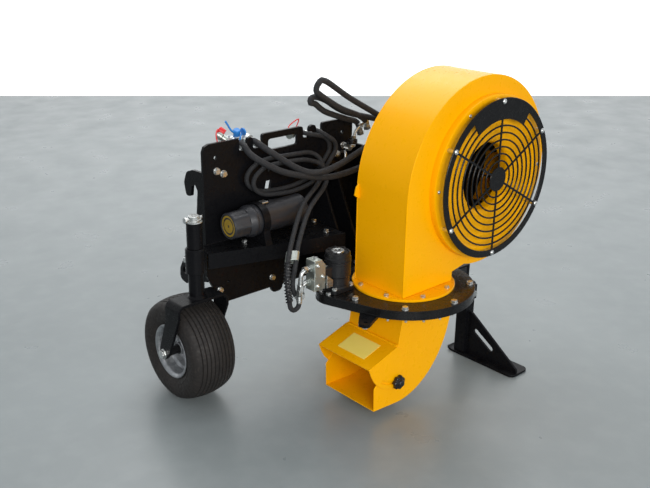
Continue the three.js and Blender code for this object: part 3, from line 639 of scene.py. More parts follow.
def kingpin_stack():
    centre = (PIN_X, PIN_Y, 0)
    housing_low, housing_high = box_mm("kingpin_housing")
    outer = (housing_high.x - housing_low.x) / 2
    low, high = housing_low.z, housing_high.z
    housing = Shape()
    housing.turned([(PIN_BORE, low), (outer - 1.5, low), (outer, low + 1.5), (outer, high - 4),
                    (outer - 1.5, high - 2.5), (outer - 1.5, high - 1.2), (outer - 3, high),
                    (PIN_BORE, high)], centre, UP, 72, 0, True)
    strap = ((12, 27, 432), (26, 16, 450), (28, 10, 468))
    housing.tube([(PIN_X + x, PIN_Y + y, z) for x, y, z in strap], 3, 8)
    housing.piece("kingpin_sleeve", BLACK, "frame", ["kingpin_housing"])
    for node, name in (("lower_spacer", "lower_spacer_tube"), ("upper_spacer", "upper_spacer_tube")):
        small, large = box_mm(node)
        reach = (large.x - small.x) / 2
        spacer = Shape()
        spacer.turned([(PIN_BORE, small.z), (reach - 1, small.z), (reach, small.z + 1),
                       (reach, large.z - 1.6), (reach - 1.4, large.z), (PIN_BORE, large.z)],
                      centre, UP, 64, 0, True)
        if node == "lower_spacer":
            spacer.turned([(reach + 6, small.z), (reach + 4, small.z + 2.5), (reach - 0.4, small.z + 7)],
                          centre, UP, 64)
        spacer.piece(name, BLACK, "caster", [node])
    carry(BLACK, "caster_fork", width=2.2)
    carry(ZINC, "kingpin", "lynch_pin", "wheel_axle", width=1.2)
    ring = Shape()
    top = box_mm("upper_spacer")[1].z
    ring.turned([(17.4, top), (24.5, top), (24.5, top + 2.4), (23.6, top + 3.2), (17.4, top + 3.2)],
                centre, UP, 48, 0, True)
    wire = [(*spot(PIN_X, PIN_Y, 21.5, a), top + 9 + 4 * math.cos(math.radians(a)))
            for a in range(-165, 166, 15)]
    ring.tube(wire, 1.7, 8, 0, 4)
    ring.piece("kingpin_washer", ZINC, "caster")
    washers = Shape()
    outside, inside = WHEEL_HALF + 14.2, WHEEL_HALF + 5.6
    disc = [(AXLE_BORE, outside), (15.5, outside), (15.5, outside + 1.8), (14.6, outside + 2.4),
            (AXLE_BORE, outside + 2.4)]
    sleeve = [(AXLE_BORE, 43), (13, 43), (13, inside), (AXLE_BORE, inside)]
    for side in (-1, 1):
        for slot, profile in enumerate((disc, sleeve)):
            washers.turned(profile, WHEEL_CENTRE, (side, 0, 0), 36, slot, True)
    washers.piece("axle_washers_and_spacers", [ZINC, MOTOR_BLACK], "caster")


def ribbed_tyre():
    """A lawn-and-garden tyre with circumferential ribs, round shoulders and a plain sidewall."""
    half, radius = WHEEL_HALF, WHEEL_RADIUS
    side = [(74.5, 52), (74.5, 61.5), (80, 63.2), (88, 64.4), (92, 66.5), (99, half - 4),
            (103, half - 2.6), (104, half - 3.2), (110, half - 1), (118, half), (126, half),
            (133, half - 1.2), (139, half - 3.2), (140, half - 4.2), (145, half - 7.5),
            (149, half - 11.5)]
    fall, power, tread_half = 9.5, 2.2, half - 13

    def crown(x):
        return radius - fall * (abs(x) / tread_half) ** power

    grooves, pitch, width, deep = 9, 13.2, 3.4, 4.5
    tread = []
    for i in range(grooves):
        middle = (grooves - 1) / 2 * pitch - i * pitch
        wall = [(width / 2 + 0.7, 0), (width / 2, 0.6), (width / 2 - 0.8, deep)]
        for offset, drop in wall + [(-offset, drop) for offset, drop in wall[::-1]]:
            tread.append((crown(middle + offset) - drop, middle + offset))
    profile = side + tread + [(r, -x) for r, x in side[::-1]]
    tyre = Shape()
    tyre.turned(profile, WHEEL_CENTRE, RIGHT, 120, 0, True)
    tyre.piece("ribbed_tyre", RUBBER, "wheel", ["tyre"], 40)


def pressed_rim():
    hub = 8.6
    flare = [(70.5, 58), (72.5, 63), (79, 68), (83, 68.6), (84.8, 67), (84, 65), (77, 62.4), (74, 58)]
    left = [(hub, -40), (17, -40), (19, -38), (19, 0), (30, 2), (44, 1), (55, -4), (60, -10), (61, -24),
            (63, -27), (69, -30), (70.5, -33), *[(radius, -x) for radius, x in flare]]
    right = [*flare[::-1], (70.5, 12), (66, 8), (56, 5), (46, 6), (30, 7), (19, 5), (19, 38), (17, 40),
             (hub, 40)]
    rim = Shape()
    rim.turned(left + right, WHEEL_CENTRE, RIGHT, 96, 0, True)
    rim.piece("pressed_rim", RIM, "wheel", ["wheel_rim"], 38)
    nuts = Shape()
    for y, z in spots(WHEEL_Y, WHEEL_RADIUS, 40, 5, 90):
        nuts.bolt((WHEEL_X + 1, y, z), LEFT, 12)
        nuts.bolt((WHEEL_X + 6, y, z), RIGHT, 12)
    nuts.piece("rim_nuts", ZINC, "wheel")
    stem = Shape()
    stem.turned([(5, -26), (5, -38), (3.6, -41), (3.6, -58), (2.8, -59), (0.3, -59)],
                (WHEEL_X, WHEEL_Y - 46, WHEEL_RADIUS + 46), RIGHT, 20)
    for side in (-1, 1):
        stem.turned([(hub + 0.4, 36), (16.5, 36), (16.5, 41.5), (15.5, 42.5), (hub + 0.4, 42.5)],
                    WHEEL_CENTRE, (side, 0, 0), 40, 1, True)
    stem.piece("valve_stem_and_seals", [RUBBER, MOTOR_BLACK], "wheel")


# ---- Turret and steering drive ----

MOTOR_ANGLE = math.degrees(math.atan2(MOTOR_Y - TURRET_Y, MOTOR_X - TURRET_X))
MOTOR_REACH = math.hypot(MOTOR_Y - TURRET_Y, MOTOR_X - TURRET_X)
TURRET_RADIUS = TURRET_Y - box_mm("turret_top_plate")[0].y


def pear(radius, lobe):
    """A large circle and the motor's lobe, with straight flanks that touch both."""
    touch = math.degrees(math.acos((radius - lobe) / MOTOR_REACH))
    return (arc(TURRET_X, TURRET_Y, radius, MOTOR_ANGLE + touch, MOTOR_ANGLE - touch + 360)
            + arc(MOTOR_X, MOTOR_Y, lobe, MOTOR_ANGLE - touch, MOTOR_ANGLE + touch))


def turret():
    lobe, plate, ring_hole, duct_hole, motor_hole = 64, 6, 150, 128, 24
    top_bolts, foot_bolts, chute_bolts, under_bolts = 201, 138, 147, 197
    radius = TURRET_RADIUS
    low, high = TURRET_BOTTOM, TURRET_TOP
    shell = Shape()
    shell.plate([pear(radius, lobe), circle(TURRET_X, TURRET_Y, ring_hole)], "XY", low, low + plate, 0.7)
    shell.plate([pear(radius - 0.8, lobe - 0.8), pear(radius - 24, lobe - 18)],
                "XY", low + plate, high - plate, 0.1)
    shell.plate([pear(radius, lobe), circle(TURRET_X, TURRET_Y, duct_hole),
                 circle(MOTOR_X, MOTOR_Y, motor_hole)],
                "XY", high - plate, high, 0.9)
    shell.piece("turret_shell", GLOSS_BLACK, "frame",
                ["turret_bottom_plate", "turret_rim", "turret_top_plate"])
    carry(SLIDE_PLASTIC, "slide_ring")
    carry(STEEL, "ring_gear", "drive_pinion", "fan_shaft", width=0.5)
    bolts = Shape()
    for place in spots(TURRET_X, TURRET_Y, top_bolts, 8):
        bolts.bolt((*place, high), UP, 17)
    for turn in (-42, 0, 42):
        bolts.bolt((*spot(MOTOR_X, MOTOR_Y, 50, MOTOR_ANGLE + turn), high), UP, 14)
    bolts.piece("turret_bolts", ZINC, "frame")
    flange = Shape()
    flange.plate([circle(TURRET_X, TURRET_Y, 155, 3),
                  rectangle(FAN_X - 335, VOLUTE_FRONT + 4, FAN_X - 128, VOLUTE_BACK - 4)],
                 "XY", FLANGE_LOW.z, FLANGE_HIGH.z, 0.9)
    for place in spots(TURRET_X, TURRET_Y, foot_bolts, 8, 22.5):
        flange.bolt((*place, FLANGE_HIGH.z), UP, 13, True, 1)
    flange.piece("volute_foot_flange", [YELLOW, ZINC], "frame", ["volute_flange"])
    carry(YELLOW, "chute_flange", width=0.6)
    under = Shape()
    flange_low = box_mm("chute_flange")[0].z
    for place in spots(TURRET_X, TURRET_Y, chute_bolts, 12, 15):
        under.bolt((*place, flange_low), DOWN, 12)
    under.piece("chute_flange_bolts", ZINC, "chute")
    lower = Shape()
    for x, y in spots(TURRET_X, TURRET_Y, under_bolts, 24, 1):
        if not (-250 < x - TURRET_X < -170 and -100 < y - TURRET_Y < 0):
            lower.bolt((x, y, TURRET_BOTTOM), DOWN, 12)
            lower.turned([(4, 0), (4, 13), (3.2, 14), (0.2, 14)], (x, y, TURRET_BOTTOM), DOWN, 16)
    lug_low = box_mm("turret_lug")[0].z
    lower.bolt((TURRET_X - 248, TURRET_Y - 90, lug_low), DOWN, 14)
    lower.piece("turret_under_bolts", ZINC, "frame")


def steering_motor():
    centre = (MOTOR_X, MOTOR_Y, 0)
    foot, top = box_mm("steering_motor")[0].z, box_mm("steering_motor_cover")[1].z
    body = Shape()
    base = rectangle(MOTOR_X - 42, MOTOR_Y - 34, MOTOR_X + 42, MOTOR_Y + 34, 10)
    body.plate([base], "XY", foot, foot + 12, 1.2)
    profile = [(0.5, foot + 11), (38, foot + 11), (38, foot + 16), (36, foot + 19), (36, 398), (39.5, 402),
               (39.5, 438), (38.6, 439), (38.6, 441), (40.5, 442), (40.5, 447), (38.4, 448), (38.4, 450),
               (40.5, 451), (40.5, 457), (39.5, 458), (37.8, 460), (37.8, top - 3), (35.5, top), (0.5, top)]
    body.turned(profile, centre, UP, 72)
    port = [(MOTOR_X - 66, MOTOR_Y - 17, 5), (MOTOR_X - 30, MOTOR_Y - 17), (MOTOR_X - 30, MOTOR_Y + 17),
            (MOTOR_X - 66, MOTOR_Y + 17, 5)]
    body.plate([corners_of(port)], "XY", 404, 438, 1.5)
    body.piece("steering_motor_body", MOTOR_BLACK, "frame", ["steering_motor", "steering_motor_cover"])
    trim = Shape()
    for place in spots(MOTOR_X, MOTOR_Y, 29, 7, 12):
        trim.bolt((*place, top), UP, 8, False, 1)
    badge = [(9, top), (9, top + 2.5), (13, top + 3.5), (19, top + 2.5), (19.6, top)]
    trim.turned(badge, centre, UP, 48, 0, True)
    for dx, dy in corners(32, 24):
        trim.bolt((MOTOR_X + dx, MOTOR_Y + dy, foot + 12), UP, 14)
    trim.piece("steering_motor_trim", [ZINC, MOTOR_BLACK], "frame")


def fitting(shape, start, end, radius, slot=0):
    """A hose end: a hex nut, a crimped sleeve and a tail, from the port to the hose."""
    first, last = Vector(start), Vector(end)
    way = (last - first).normalized()
    length = (last - first).length
    shape.turned([(0.3, 0), (radius * 1.32, 0), (radius * 1.32, length * 0.36), (radius * 1.1, length * 0.42),
                  (0.3, length * 0.42)], first, way, 6, slot)
    ridges = []
    for i in range(4):
        along = length * (0.46 + 0.13 * i)
        ridges += [(radius * 1.2, along), (radius * 1.2, along + length * 0.08),
                   (radius * 1.08, along + length * 0.1)]
    shape.turned([(0.3, length * 0.40), (radius * 0.8, length * 0.40), (radius * 0.8, length * 0.45), *ridges,
                  (radius * 1.05, length), (0.3, length)], first, way, 24, slot)


def nut(shape, radius, low, high, place, way):
    """A plain nut or ferrule between two distances along its axis."""
    shape.turned([(0.3, low), (radius, low), (radius, high), (0.3, high)], place, way, 6)


def steering_valve():
    low, high = box_mm("valve_block")
    right = MOTOR_X - 63
    block = Shape()
    face = [(low.x, low.z), (right, low.z), (right, high.z - 18), (right - 14, high.z), (low.x, high.z)]
    block.plate([corners_of(face)], "XZ", low.y, high.y, 1.4)
    port = [(9, 0), (9, 6), (12, 6), (12, 16), (9.5, 17), (9.5, 23)]
    for z in (396, 430):
        block.turned(port, (right - 1, MOTOR_Y, z), RIGHT, 6)
    block.piece("steering_valve_block", VALVE_ZINC, "frame", ["valve_block"])
    plugs = Shape()
    for x, z in ((low.x + 12, high.z - 15), (low.x + 30, high.z - 52), (low.x + 12, high.z - 78)):
        plugs.button((x, low.y, z), FRONT, 6.5)
    plugs.bolt((low.x + 20, (low.y + high.y) / 2, high.z), UP, 12, False)
    bracket = corners_of([(right + 2, 377), (right + 26, 377), (right + 26, 398), (right + 2, 418)])
    plugs.plate([bracket], "XZ", low.y - 4, low.y - 1, 0.5)
    plugs.piece("valve_fittings", ZINC, "frame")
    elbows = Shape()
    end = low.x
    elbows.tube([(end, MOTOR_Y, 446), (end - 22, MOTOR_Y, 446), (end - 36, MOTOR_Y - 1, 436),
                 (end - 40, MOTOR_Y - 1, 412), (end - 40, MOTOR_Y - 1, 392)], 6.5, 14, 0, 4)
    elbows.turned([(0.3, 0), (11, 0), (11, 9), (7, 10)], (end, MOTOR_Y, 446), LEFT, 6)
    nut(elbows, 10.5, -6, 6, (end - 22, MOTOR_Y, 446), RIGHT)
    nut(elbows, 10.5, -10, 8, (end - 40, MOTOR_Y - 1, 396), UP)
    elbows.piece("valve_elbow_high", ZINC, "frame", ["valve_elbow_upper"])
    lower = Shape()
    deep = MOTOR_Y + 12
    lower.tube([(end, deep, 398), (end - 12, deep, 398), (end - 23, deep, 388), (end - 25, deep, 352)],
               6.5, 14, 0, 4)
    lower.turned([(0.3, 0), (10.5, 0), (10.5, 8), (7, 9)], (end, deep, 398), LEFT, 6)
    nut(lower, 10.5, -8, 8, (end - 25, deep, 362), UP)
    lower.piece("valve_elbow_low", ZINC, "frame", ["valve_elbow_lower"])


# ---- Volute, inlet and fan ----

DUCT_LEFT, DUCT_RIGHT, TONGUE = -338.0, -125.0, -277.0
SCROLL_START, SCROLL_END = -105.0, 180.0
SCROLL_SMALL, SCROLL_LARGE, SCROLL_POWER = 275.0, 338.0, 2.1
BOLT_CIRCLE = 232


def scroll_radius(deg):
    share = (deg - SCROLL_START) / (SCROLL_END - SCROLL_START)
    return SCROLL_SMALL + (SCROLL_LARGE - SCROLL_SMALL) * share ** SCROLL_POWER


def volute_edge(depth=0.0):
    """The casing's side view in XZ, from the duct's left foot round the scroll to its right foot."""
    steps, foot = 110, VOLUTE_FOOT
    points = [Vector((FAN_X + DUCT_LEFT + depth, foot))]
    for i in range(steps + 1):
        deg = SCROLL_END + (SCROLL_START - SCROLL_END) * i / steps
        points.append(spot(FAN_X, FAN_Z, scroll_radius(deg) - depth, deg))
    points.append(Vector((FAN_X + DUCT_RIGHT - depth, FAN_Z + TONGUE + depth * 0.7)))
    points.append(Vector((FAN_X + DUCT_RIGHT - depth, foot)))
    return points


def volute():
    inlet_hole, shaft_hole = 232, 20
    casing = Shape()
    casing.plate([volute_edge(), circle(FAN_X, FAN_Z, inlet_hole, 3)],
                 "XZ", VOLUTE_FRONT, VOLUTE_FRONT + SHEET, 1.2)
    casing.plate([volute_edge(), circle(FAN_X, FAN_Z, shaft_hole, 8)],
                 "XZ", VOLUTE_BACK - SHEET, VOLUTE_BACK, 1.2)
    strip = volute_edge(0.5) + volute_edge(SHEET)[::-1]
    casing.plate([strip], "XZ", VOLUTE_FRONT + 2.6, VOLUTE_BACK - 2.6, 0.2)
    casing.piece("volute_casing", YELLOW, "frame", ["volute_front", "volute_back", "volute_wrap"], 28)
    tab = Shape()
    left = FAN_X - scroll_radius(180)
    tab.plate([corners_of([(left + 4, 615), (left - 16, 628, 3), (left - 10, 652, 3), (left + 6, 668)])],
              "XZ", VOLUTE_BACK - 9, VOLUTE_BACK - 4, 0.7)
    tab.piece("volute_side_tab", YELLOW, "frame")
    seams = Shape()
    for y in (VOLUTE_FRONT + 2.6, VOLUTE_BACK - 2.6):
        for x, far in ((DUCT_LEFT + 0.8, FAN_Z - 20), (DUCT_RIGHT - 0.8, FAN_Z + TONGUE - 6)):
            heights = (VOLUTE_FOOT + 2, (VOLUTE_FOOT + far) / 2, far)
            seams.tube([(FAN_X + x, y, z) for z in heights], 1.6, 8)
    seams.piece("volute_seams", YELLOW, "frame")


def inlet():
    centre = (FAN_X, 0, FAN_Z)
    collar, lip, front = 248.0, 216.0, CONE_FRONT
    seat = VOLUTE_FRONT - 0.3
    curve = [(lip - 8, -507), (190, -505.6), (150, -503.2), (125, -501.8), (114, -500.4), (107, -497.4),
             (103, -492.5), (101.4, -486), (101, -466)]
    back = [(104, -466), (104.4, -485), (106, -491), (110, -495.6), (116, -498), (150, -500.2),
            (lip - 7, -504)]
    profile = [(collar, seat), (collar, front + 2.5), (collar - 0.8, front + 0.8), (collar - 2.5, front),
               (lip + 2, front), (lip, front + 1), *curve, *back, (lip + 0.5, front + 3),
               (collar - 3, front + 3), (collar - 3, seat)]
    cone = Shape()
    cone.turned(profile, centre, BACK, 144, 0, True)
    for x, z in spots(FAN_X, FAN_Z, BOLT_CIRCLE, 12):
        cone.button((x, front, z), FRONT, 5.5, 1)
    cone.piece("inlet_collar", [YELLOW, ZINC], "frame", ["inlet_cone"])


def guard_slot(inner, outer, sector, beside_panel):
    """A curved slot between two spokes; slots beside the solid panel stop short of it."""
    spoke, panel = 3.2, 34.0

    def margin(r):
        return math.degrees(math.asin(spoke / r))

    start = -30 + sector * 60
    low = 90 + panel if beside_panel and sector == 2 else start
    high = 90 - panel if beside_panel and sector == 1 else start + 60
    return (arc(FAN_X, FAN_Z, outer, low + margin(outer), high - margin(outer), 5)
            + arc(FAN_X, FAN_Z, inner, high - margin(inner), low + margin(inner), 5))


def guard():
    rim, pitch, bar, bars = 21.0, 21.0, 5.0, 9
    loops = [circle(FAN_X, FAN_Z, GUARD_RADIUS, 2.5)]
    for ring in range(bars):
        outer = GUARD_RADIUS - rim - ring * pitch
        for sector in range(6):
            loops.append(guard_slot(outer - pitch + bar, outer, sector, ring < 2))
    grille = Shape()
    grille.plate(loops, "XZ", GUARD_LOW.y, GUARD_HIGH.y, 0.8)
    grille.piece("inlet_grille", GLOSS_BLACK, "frame", ["inlet_guard"])
    bolts = Shape()
    for x, z in spots(FAN_X, FAN_Z, BOLT_CIRCLE, 6, 30):
        bolts.button((x, GUARD_LOW.y, z), FRONT, 8.0)
        bolts.turned([(6.5, GUARD_HIGH.y), (6.5, CONE_FRONT)], (x, 0, z), BACK, 16)
    bolts.piece("guard_bolts", ZINC, "frame")
    carry(BLACK, "impeller", width=0.6)


def fan_motor():
    carry(MOTOR_BLACK, "fan_motor", "fan_motor_mount", width=1.6)
    low, high = box_mm("fan_motor")
    covers = Shape()
    for y in (low.y + 22, high.y - 26):
        covers.plate([rectangle(FAN_X - 47, FAN_Z - 65, FAN_X + 47, FAN_Z + 65, 14)], "XZ", y, y + 5, 0.8)
    for dx, dz in corners(34, 52):
        covers.bolt((FAN_X + dx, high.y, FAN_Z + dz), BACK, 15, True, 1)
    mount_back = box_mm("fan_motor_mount")[1].y
    for dx, dz in corners(76, 56):
        covers.bolt((FAN_X + dx, mount_back, FAN_Z + dz), BACK, 17, True, 1)
    covers.piece("fan_motor_covers", [MOTOR_BLACK, ZINC], "frame")


# ---- Hydraulic lines ----

FAN_PORT_Y = box_mm("fan_motor")[0].y + 60


def bow(x, z, wide, high, from_deg, to_deg, steps, from_y, to_y):
    """Points of an elliptical bend seen from the front; its depth runs evenly from one y to the other."""
    points = []
    for i in range(steps + 1):
        angle = math.radians(from_deg + (to_deg - from_deg) * i / steps)
        depth = from_y + (to_y - from_y) * i / steps
        points.append((x + wide * math.cos(angle), depth, z + high * math.sin(angle)))
    return points


def spare_coil(swell, y):
    """The flat coil of a steering hose against the plate; swell moves the second hose off the first."""
    low = 1.35 * swell
    return [
        *bow(110 + swell / 2, 700, 71 + swell, 46, 50, -40, 3, y + 4, y),
        (114, y, 622 - low), (22, y, 600 - low),
        *bow(-62, 652 - 1.5 * swell, 93 - 1.6 * swell, 50 - swell / 2, -100, -260, 5, y, y + 4),
        (40, y + 4, 698 - 2 * swell),
        *bow(83, 655 - 3 * swell, 48, 40, 78, -25, 3, y + 4, y - 28),
    ]


STEER_DROP = [(-188, -262, 465), (-214, -290, 411), (-214, -299, 362)]
STEER_SWELL = 8
LINES = {
    "hose_fan_pressure": (9.8, [
        (-151, 22, 755), (-154, -10, 757), (-150, -50, 730), (-100, -80, 693), (-40, -92, 664),
        (80, -106, 632), (170, -116, 632), (280, -138, 655), (318, FAN_PORT_Y + 30, 680)]),
    "hose_fan_return": (9.8, [
        (-100, 22, 755), (-104, -10, 757), (-90, -50, 737), (0, -88, 670), (60, -114, 654), (135, -126, 669),
        (205, -140, 700), (262, -150, 722), (300, FAN_PORT_Y + 40, 718), (320, FAN_PORT_Y + 20, 696)]),
    "hose_steer_left": (7.2, [
        (96, 22, 752), (103, -14, 750), *spare_coil(0, -30), (76, -94, 612), (-30, -140, 570),
        (-125, -205, 501), *STEER_DROP, *bow(-198, 350, 16, 18, 200, 360, 3, -302, -304), (-181, -304, 392)]),
    "hose_steer_right": (7.2, [
        (151, 22, 752), (146, -14, 752), *spare_coil(STEER_SWELL, -47), (90, -104, 598), (-14, -152, 556),
        (-106, -214, 494), (-160, -262, 452), (-188, -282, 404), (-184, -288, 372), (-166, -289, 352)]),
    "hose_loop_upper": (9.5, [
        (352, -176, 742), (340, -115, 780), (237, -60, 853), *bow(121, 899, 28, 22, 70, 250, 3, -60, -60),
        (195, -60, 827), (280, -57, 791), (318, -54, 766)]),
    "hose_loop_lower": (9.5, [
        (372, -176, 738), (358, -95, 768), (236, -40, 806), (149, -40, 855),
        *bow(103, 860, 17, 11, 80, 280, 3, -40, -40), (149, -40, 819), (238, -36, 784), (292, -30, 766),
        (318, -22, 744)]),
}


def hydraulic_lines():
    for node, (radius, points) in LINES.items():
        hose = Shape()
        hose.tube(points, radius, 16, 0, 7)
        hose.piece(node.replace("hose", "line"), HOSE, "frame", [node])
    ends = Shape()
    for node in ("hose_fan_pressure", "hose_fan_return", "hose_steer_left", "hose_steer_right"):
        radius, points = LINES[node]
        fitting(ends, points[0], Vector(points[1]).lerp(Vector(points[2]), 0.25), radius)
        fitting(ends, points[-1], points[-2], radius)
    sleeve = [(0.3, -26), (13, -26), (13, -14), (11.5, -12), (11.5, 8), (10.5, 10), (0.3, 10)]
    for place, way in (((352, -178, 732), (0, 0.1, 1)), ((372, -178, 728), (0, 0.1, 1)),
                       ((317, -54, 766), (-0.3, 0, 1)), ((318, -22, 742), (-0.3, 0, 1))):
        ends.turned(sleeve, place, way, 6)
    ends.tube([(306, -50, 760), (292, -50, 752), (277, -48, 738), (271, -44, 716), (267, -40, 690)],
              4.6, 12, 0, 4)
    nut(ends, 9, 0, 12, (300, -50, 756), (-0.9, 0, -0.4))
    nut(ends, 10, 0, 9, (271, -45, 716), UP)
    ends.turned([(0.3, 0), (11, 0), (13, 3), (13, 8), (0.3, 8)], (267, -40, 686), UP, 24)
    ends.tube([(267, -14, 676), (267, -34, 678), (267, -40, 688)], 7, 12, 0, 4)
    ends.tube([(251, -12, 668), (250, -30, 668), (246, -34, 650), (246, -30, 632)], 5, 12, 0, 4)
    nut(ends, 9, 0, 8, (246, -31, 632), UP)
    grommet = [(12, 0), (15.5, 1), (16.5, 8), (15.5, 15), (12, 16)]
    ends.turned(grommet, (269, -43, 697), UP, 32, 1, True)
    ends.piece("hose_fittings", [ZINC, KNOB_PLASTIC], "frame")


def hose_clamp():
    """A pressed band with rounded corners round both steering hoses."""
    clamp = Shape()
    middle = Vector((-155, -241, 466))
    down = Vector((-55, -50, -52)).normalized()
    across = Vector((0.78, -0.62, 0)).normalized()
    out = down.cross(across).normalized()
    sides, half_length, half_wide, half_deep, square, chamfer = 40, 16, 20, 12, 0.6, 0.8
    near = half_length - chamfer
    rows = []
    for along, less in ((-half_length, chamfer), (-near, 0), (near, 0), (half_length, chamfer)):
        row = []
        for i in range(sides):
            angle = 2 * math.pi * i / sides
            wide = (half_wide - less) * math.copysign(abs(math.cos(angle)) ** square, math.cos(angle))
            deep = (half_deep - less) * math.copysign(abs(math.sin(angle)) ** square, math.sin(angle))
            row.append(middle + down * along + across * wide + out * deep)
        rows.append(row)
    clamp.grid(rows, False, True)
    for row in (rows[0], rows[-1]):
        clamp.add(row, [list(range(sides))])
    clamp.bolt(middle - out * half_deep, -out, 11)
    clamp.piece("hose_clamp", VALVE_ZINC, "frame")


def spiral_guard():
    """A plastic spiral wound round the first steering hose where it hangs beside the valve."""
    spacing, parts, pitch, reach = 3.5, 6, 2.6, 9.6
    left = smooth(STEER_DROP, spacing)
    normal = Vector((0.6, -0.8, 0))
    points = []
    for i, here in enumerate(left):
        ahead = (left[min(i + 1, len(left) - 1)] - left[max(i - 1, 0)]).normalized()
        side = (normal - ahead * normal.dot(ahead)).normalized()
        other = ahead.cross(side)
        for part in range(parts):
            angle = 2 * math.pi * (i + part / parts) / pitch
            step = ahead * (part / parts * spacing)
            points.append(here + step + (side * math.cos(angle) + other * math.sin(angle)) * reach)
    wrap = Shape()
    wrap.tube(points, 1.7, 6, 0, 6)
    wrap.piece("hose_spiral", KNOB_PLASTIC, "frame")


def couplers():
    """Quick couplings behind the plate, with their red and blue dust caps on straps."""
    for node, x in (("coupler_left", -151), ("coupler_right", -100)):
        body = Shape()
        low, high = box_mm(node)
        middle = (low.z + high.z) / 2
        root = [(0.5, 0), (15, 0), (15, 12), (17, 14), (18, 18), (18, 32), (16.5, 34), (13.5, 35)]
        mouth = [(13.5, 1.5), (12.5, 0), (9.5, 0), (8.5, 1), (8.5, 9), (3, 10), (3, 3), (0.5, 2)]
        profile = [(radius, low.y + y) for radius, y in root] + [(radius, high.y - y) for radius, y in mouth]
        body.turned(profile, (x, 0, middle), BACK, 40)
        for i in range(9):
            y = low.y + 19 + i * 1.4
            body.turned([(18, y), (18.5, y + 0.5), (18, y + 1)], (x, 0, middle), BACK, 40)
        body.piece(node + "_body", ZINC, "frame", [node])
    extra = Shape()
    plug = [(0.5, 0), (11, 0), (11, 14), (13, 16), (13, 30), (10, 32), (0.5, 32)]
    for place, way in (((-186, 26, 768), (-0.5, 0.6, 0.5)), ((60, 30, 742), (0.9, 0.4, 0.1))):
        extra.turned(plug, place, way, 32)
    extra.piece("spare_couplings", VALVE_ZINC, "frame")
    caps = Shape()
    cup = [(0.5, 12), (9, 12), (11, 10), (11, -8), (10, -9), (0.5, -9)]
    caps.turned(cup, (-190, 42, 792), (-0.5, 0.6, 0.5), 32)
    caps.turned(cup, (92, 44, 748), (0.9, 0.4, 0.1), 32)
    caps.tube([(-196, 44, 796), (-212, 34, 803), (-226, 22, 792), (-230, 12, 776), (-228, 8, 762)],
              1.8, 8, 0, 4)
    caps.tube([(96, 44, 752), (103, 34, 784), (94, 30, 790), (60, 28, 776), (50, 20, 768)], 1.8, 8, 0, 4)
    caps.piece("red_dust_caps", RED_PLASTIC, "frame")
    blue = Shape()
    blue.turned(cup, (-140, 36, 782), (-0.2, -0.3, 0.8), 32)
    blue.turned([(0.5, 0), (12, 0), (12, 4), (10, 6), (0.5, 6)], (-122, 30, 783), (0.9, 0, 0.2), 32)
    blue.tube([(-150, 34, 784), (-164, 32, 794), (-176, 32, 812), (-184, 32, 824)], 3.2, 8, 0, 4)
    blue.tube([(-130, 26, 780), (-144, 12, 776), (-152, 6, 764), (-152, 2, 752)], 2.4, 8, 0, 4)
    blue.piece("blue_dust_caps", BLUE_PLASTIC, "frame")


# ---- Discharge chute ----

CHUTE_HALF = (CHUTE_HIGH.y - CHUTE_LOW.y) / 2
CHUTE_TOP = CHUTE_HIGH.z
CHUTE_BACK = CHUTE_HIGH.x
BEND_X, BEND_Z = 40.0, 302.0
REACH_X, REACH_Z = CHUTE_BACK - BEND_X, BEND_Z - CHUTE_LOW.z
HINGE_X, HINGE_Z = 33.0, 211.5


def chute_bend(depth):
    """The duct's rear wall in side view, from the floor up to the back."""
    steps = 36
    points = []
    for i in range(steps + 1):
        angle = -math.pi / 2 * (1 - i / steps)
        points.append(Vector((BEND_X + (REACH_X - depth) * math.cos(angle),
                              BEND_Z + (REACH_Z - depth) * math.sin(angle))))
    return points


def chute():
    front, back = TURRET_Y - CHUTE_HALF, TURRET_Y + CHUTE_HALF
    top, stud_hole = CHUTE_TOP, 4.4
    lip = [Vector((52, top)), Vector((33, 205)), Vector((-60, 104)), Vector((-58, 30))]
    cheek = lip + chute_bend(0) + [Vector((CHUTE_BACK, top))]
    duct = Shape()
    duct.plate([cheek, circle(KNOB_X, KNOB_Z, stud_hole, 20)], "XZ", front, front + SHEET, 0.9)
    duct.plate([cheek], "XZ", back - SHEET, back, 0.9)
    rear = [Vector((-58, 30)), *chute_bend(0.4), Vector((CHUTE_BACK - 0.4, top)),
            Vector((CHUTE_BACK - SHEET, top)), *chute_bend(SHEET)[::-1], Vector((-58, 33.5))]
    duct.plate([rear], "XZ", front + 2.4, back - 2.4, 0.3)
    brow = [Vector((52.4, top)), Vector((33.6, 205)), Vector((36.4, 206)), Vector((55, top))]
    duct.plate([brow], "XZ", front + 2.4, back - 2.4, 0.3)
    duct.piece("chute_shell", YELLOW, "chute", ["chute_duct"], 28)
    edge = Shape()
    for y in (front + 1.5, back - 1.5):
        edge.tube([(x, y, z) for x, z in ((33, 203), (-12, 154), (-59, 104))], 1.5, 8)
    edge.piece("chute_mouth_hem", YELLOW, "chute")


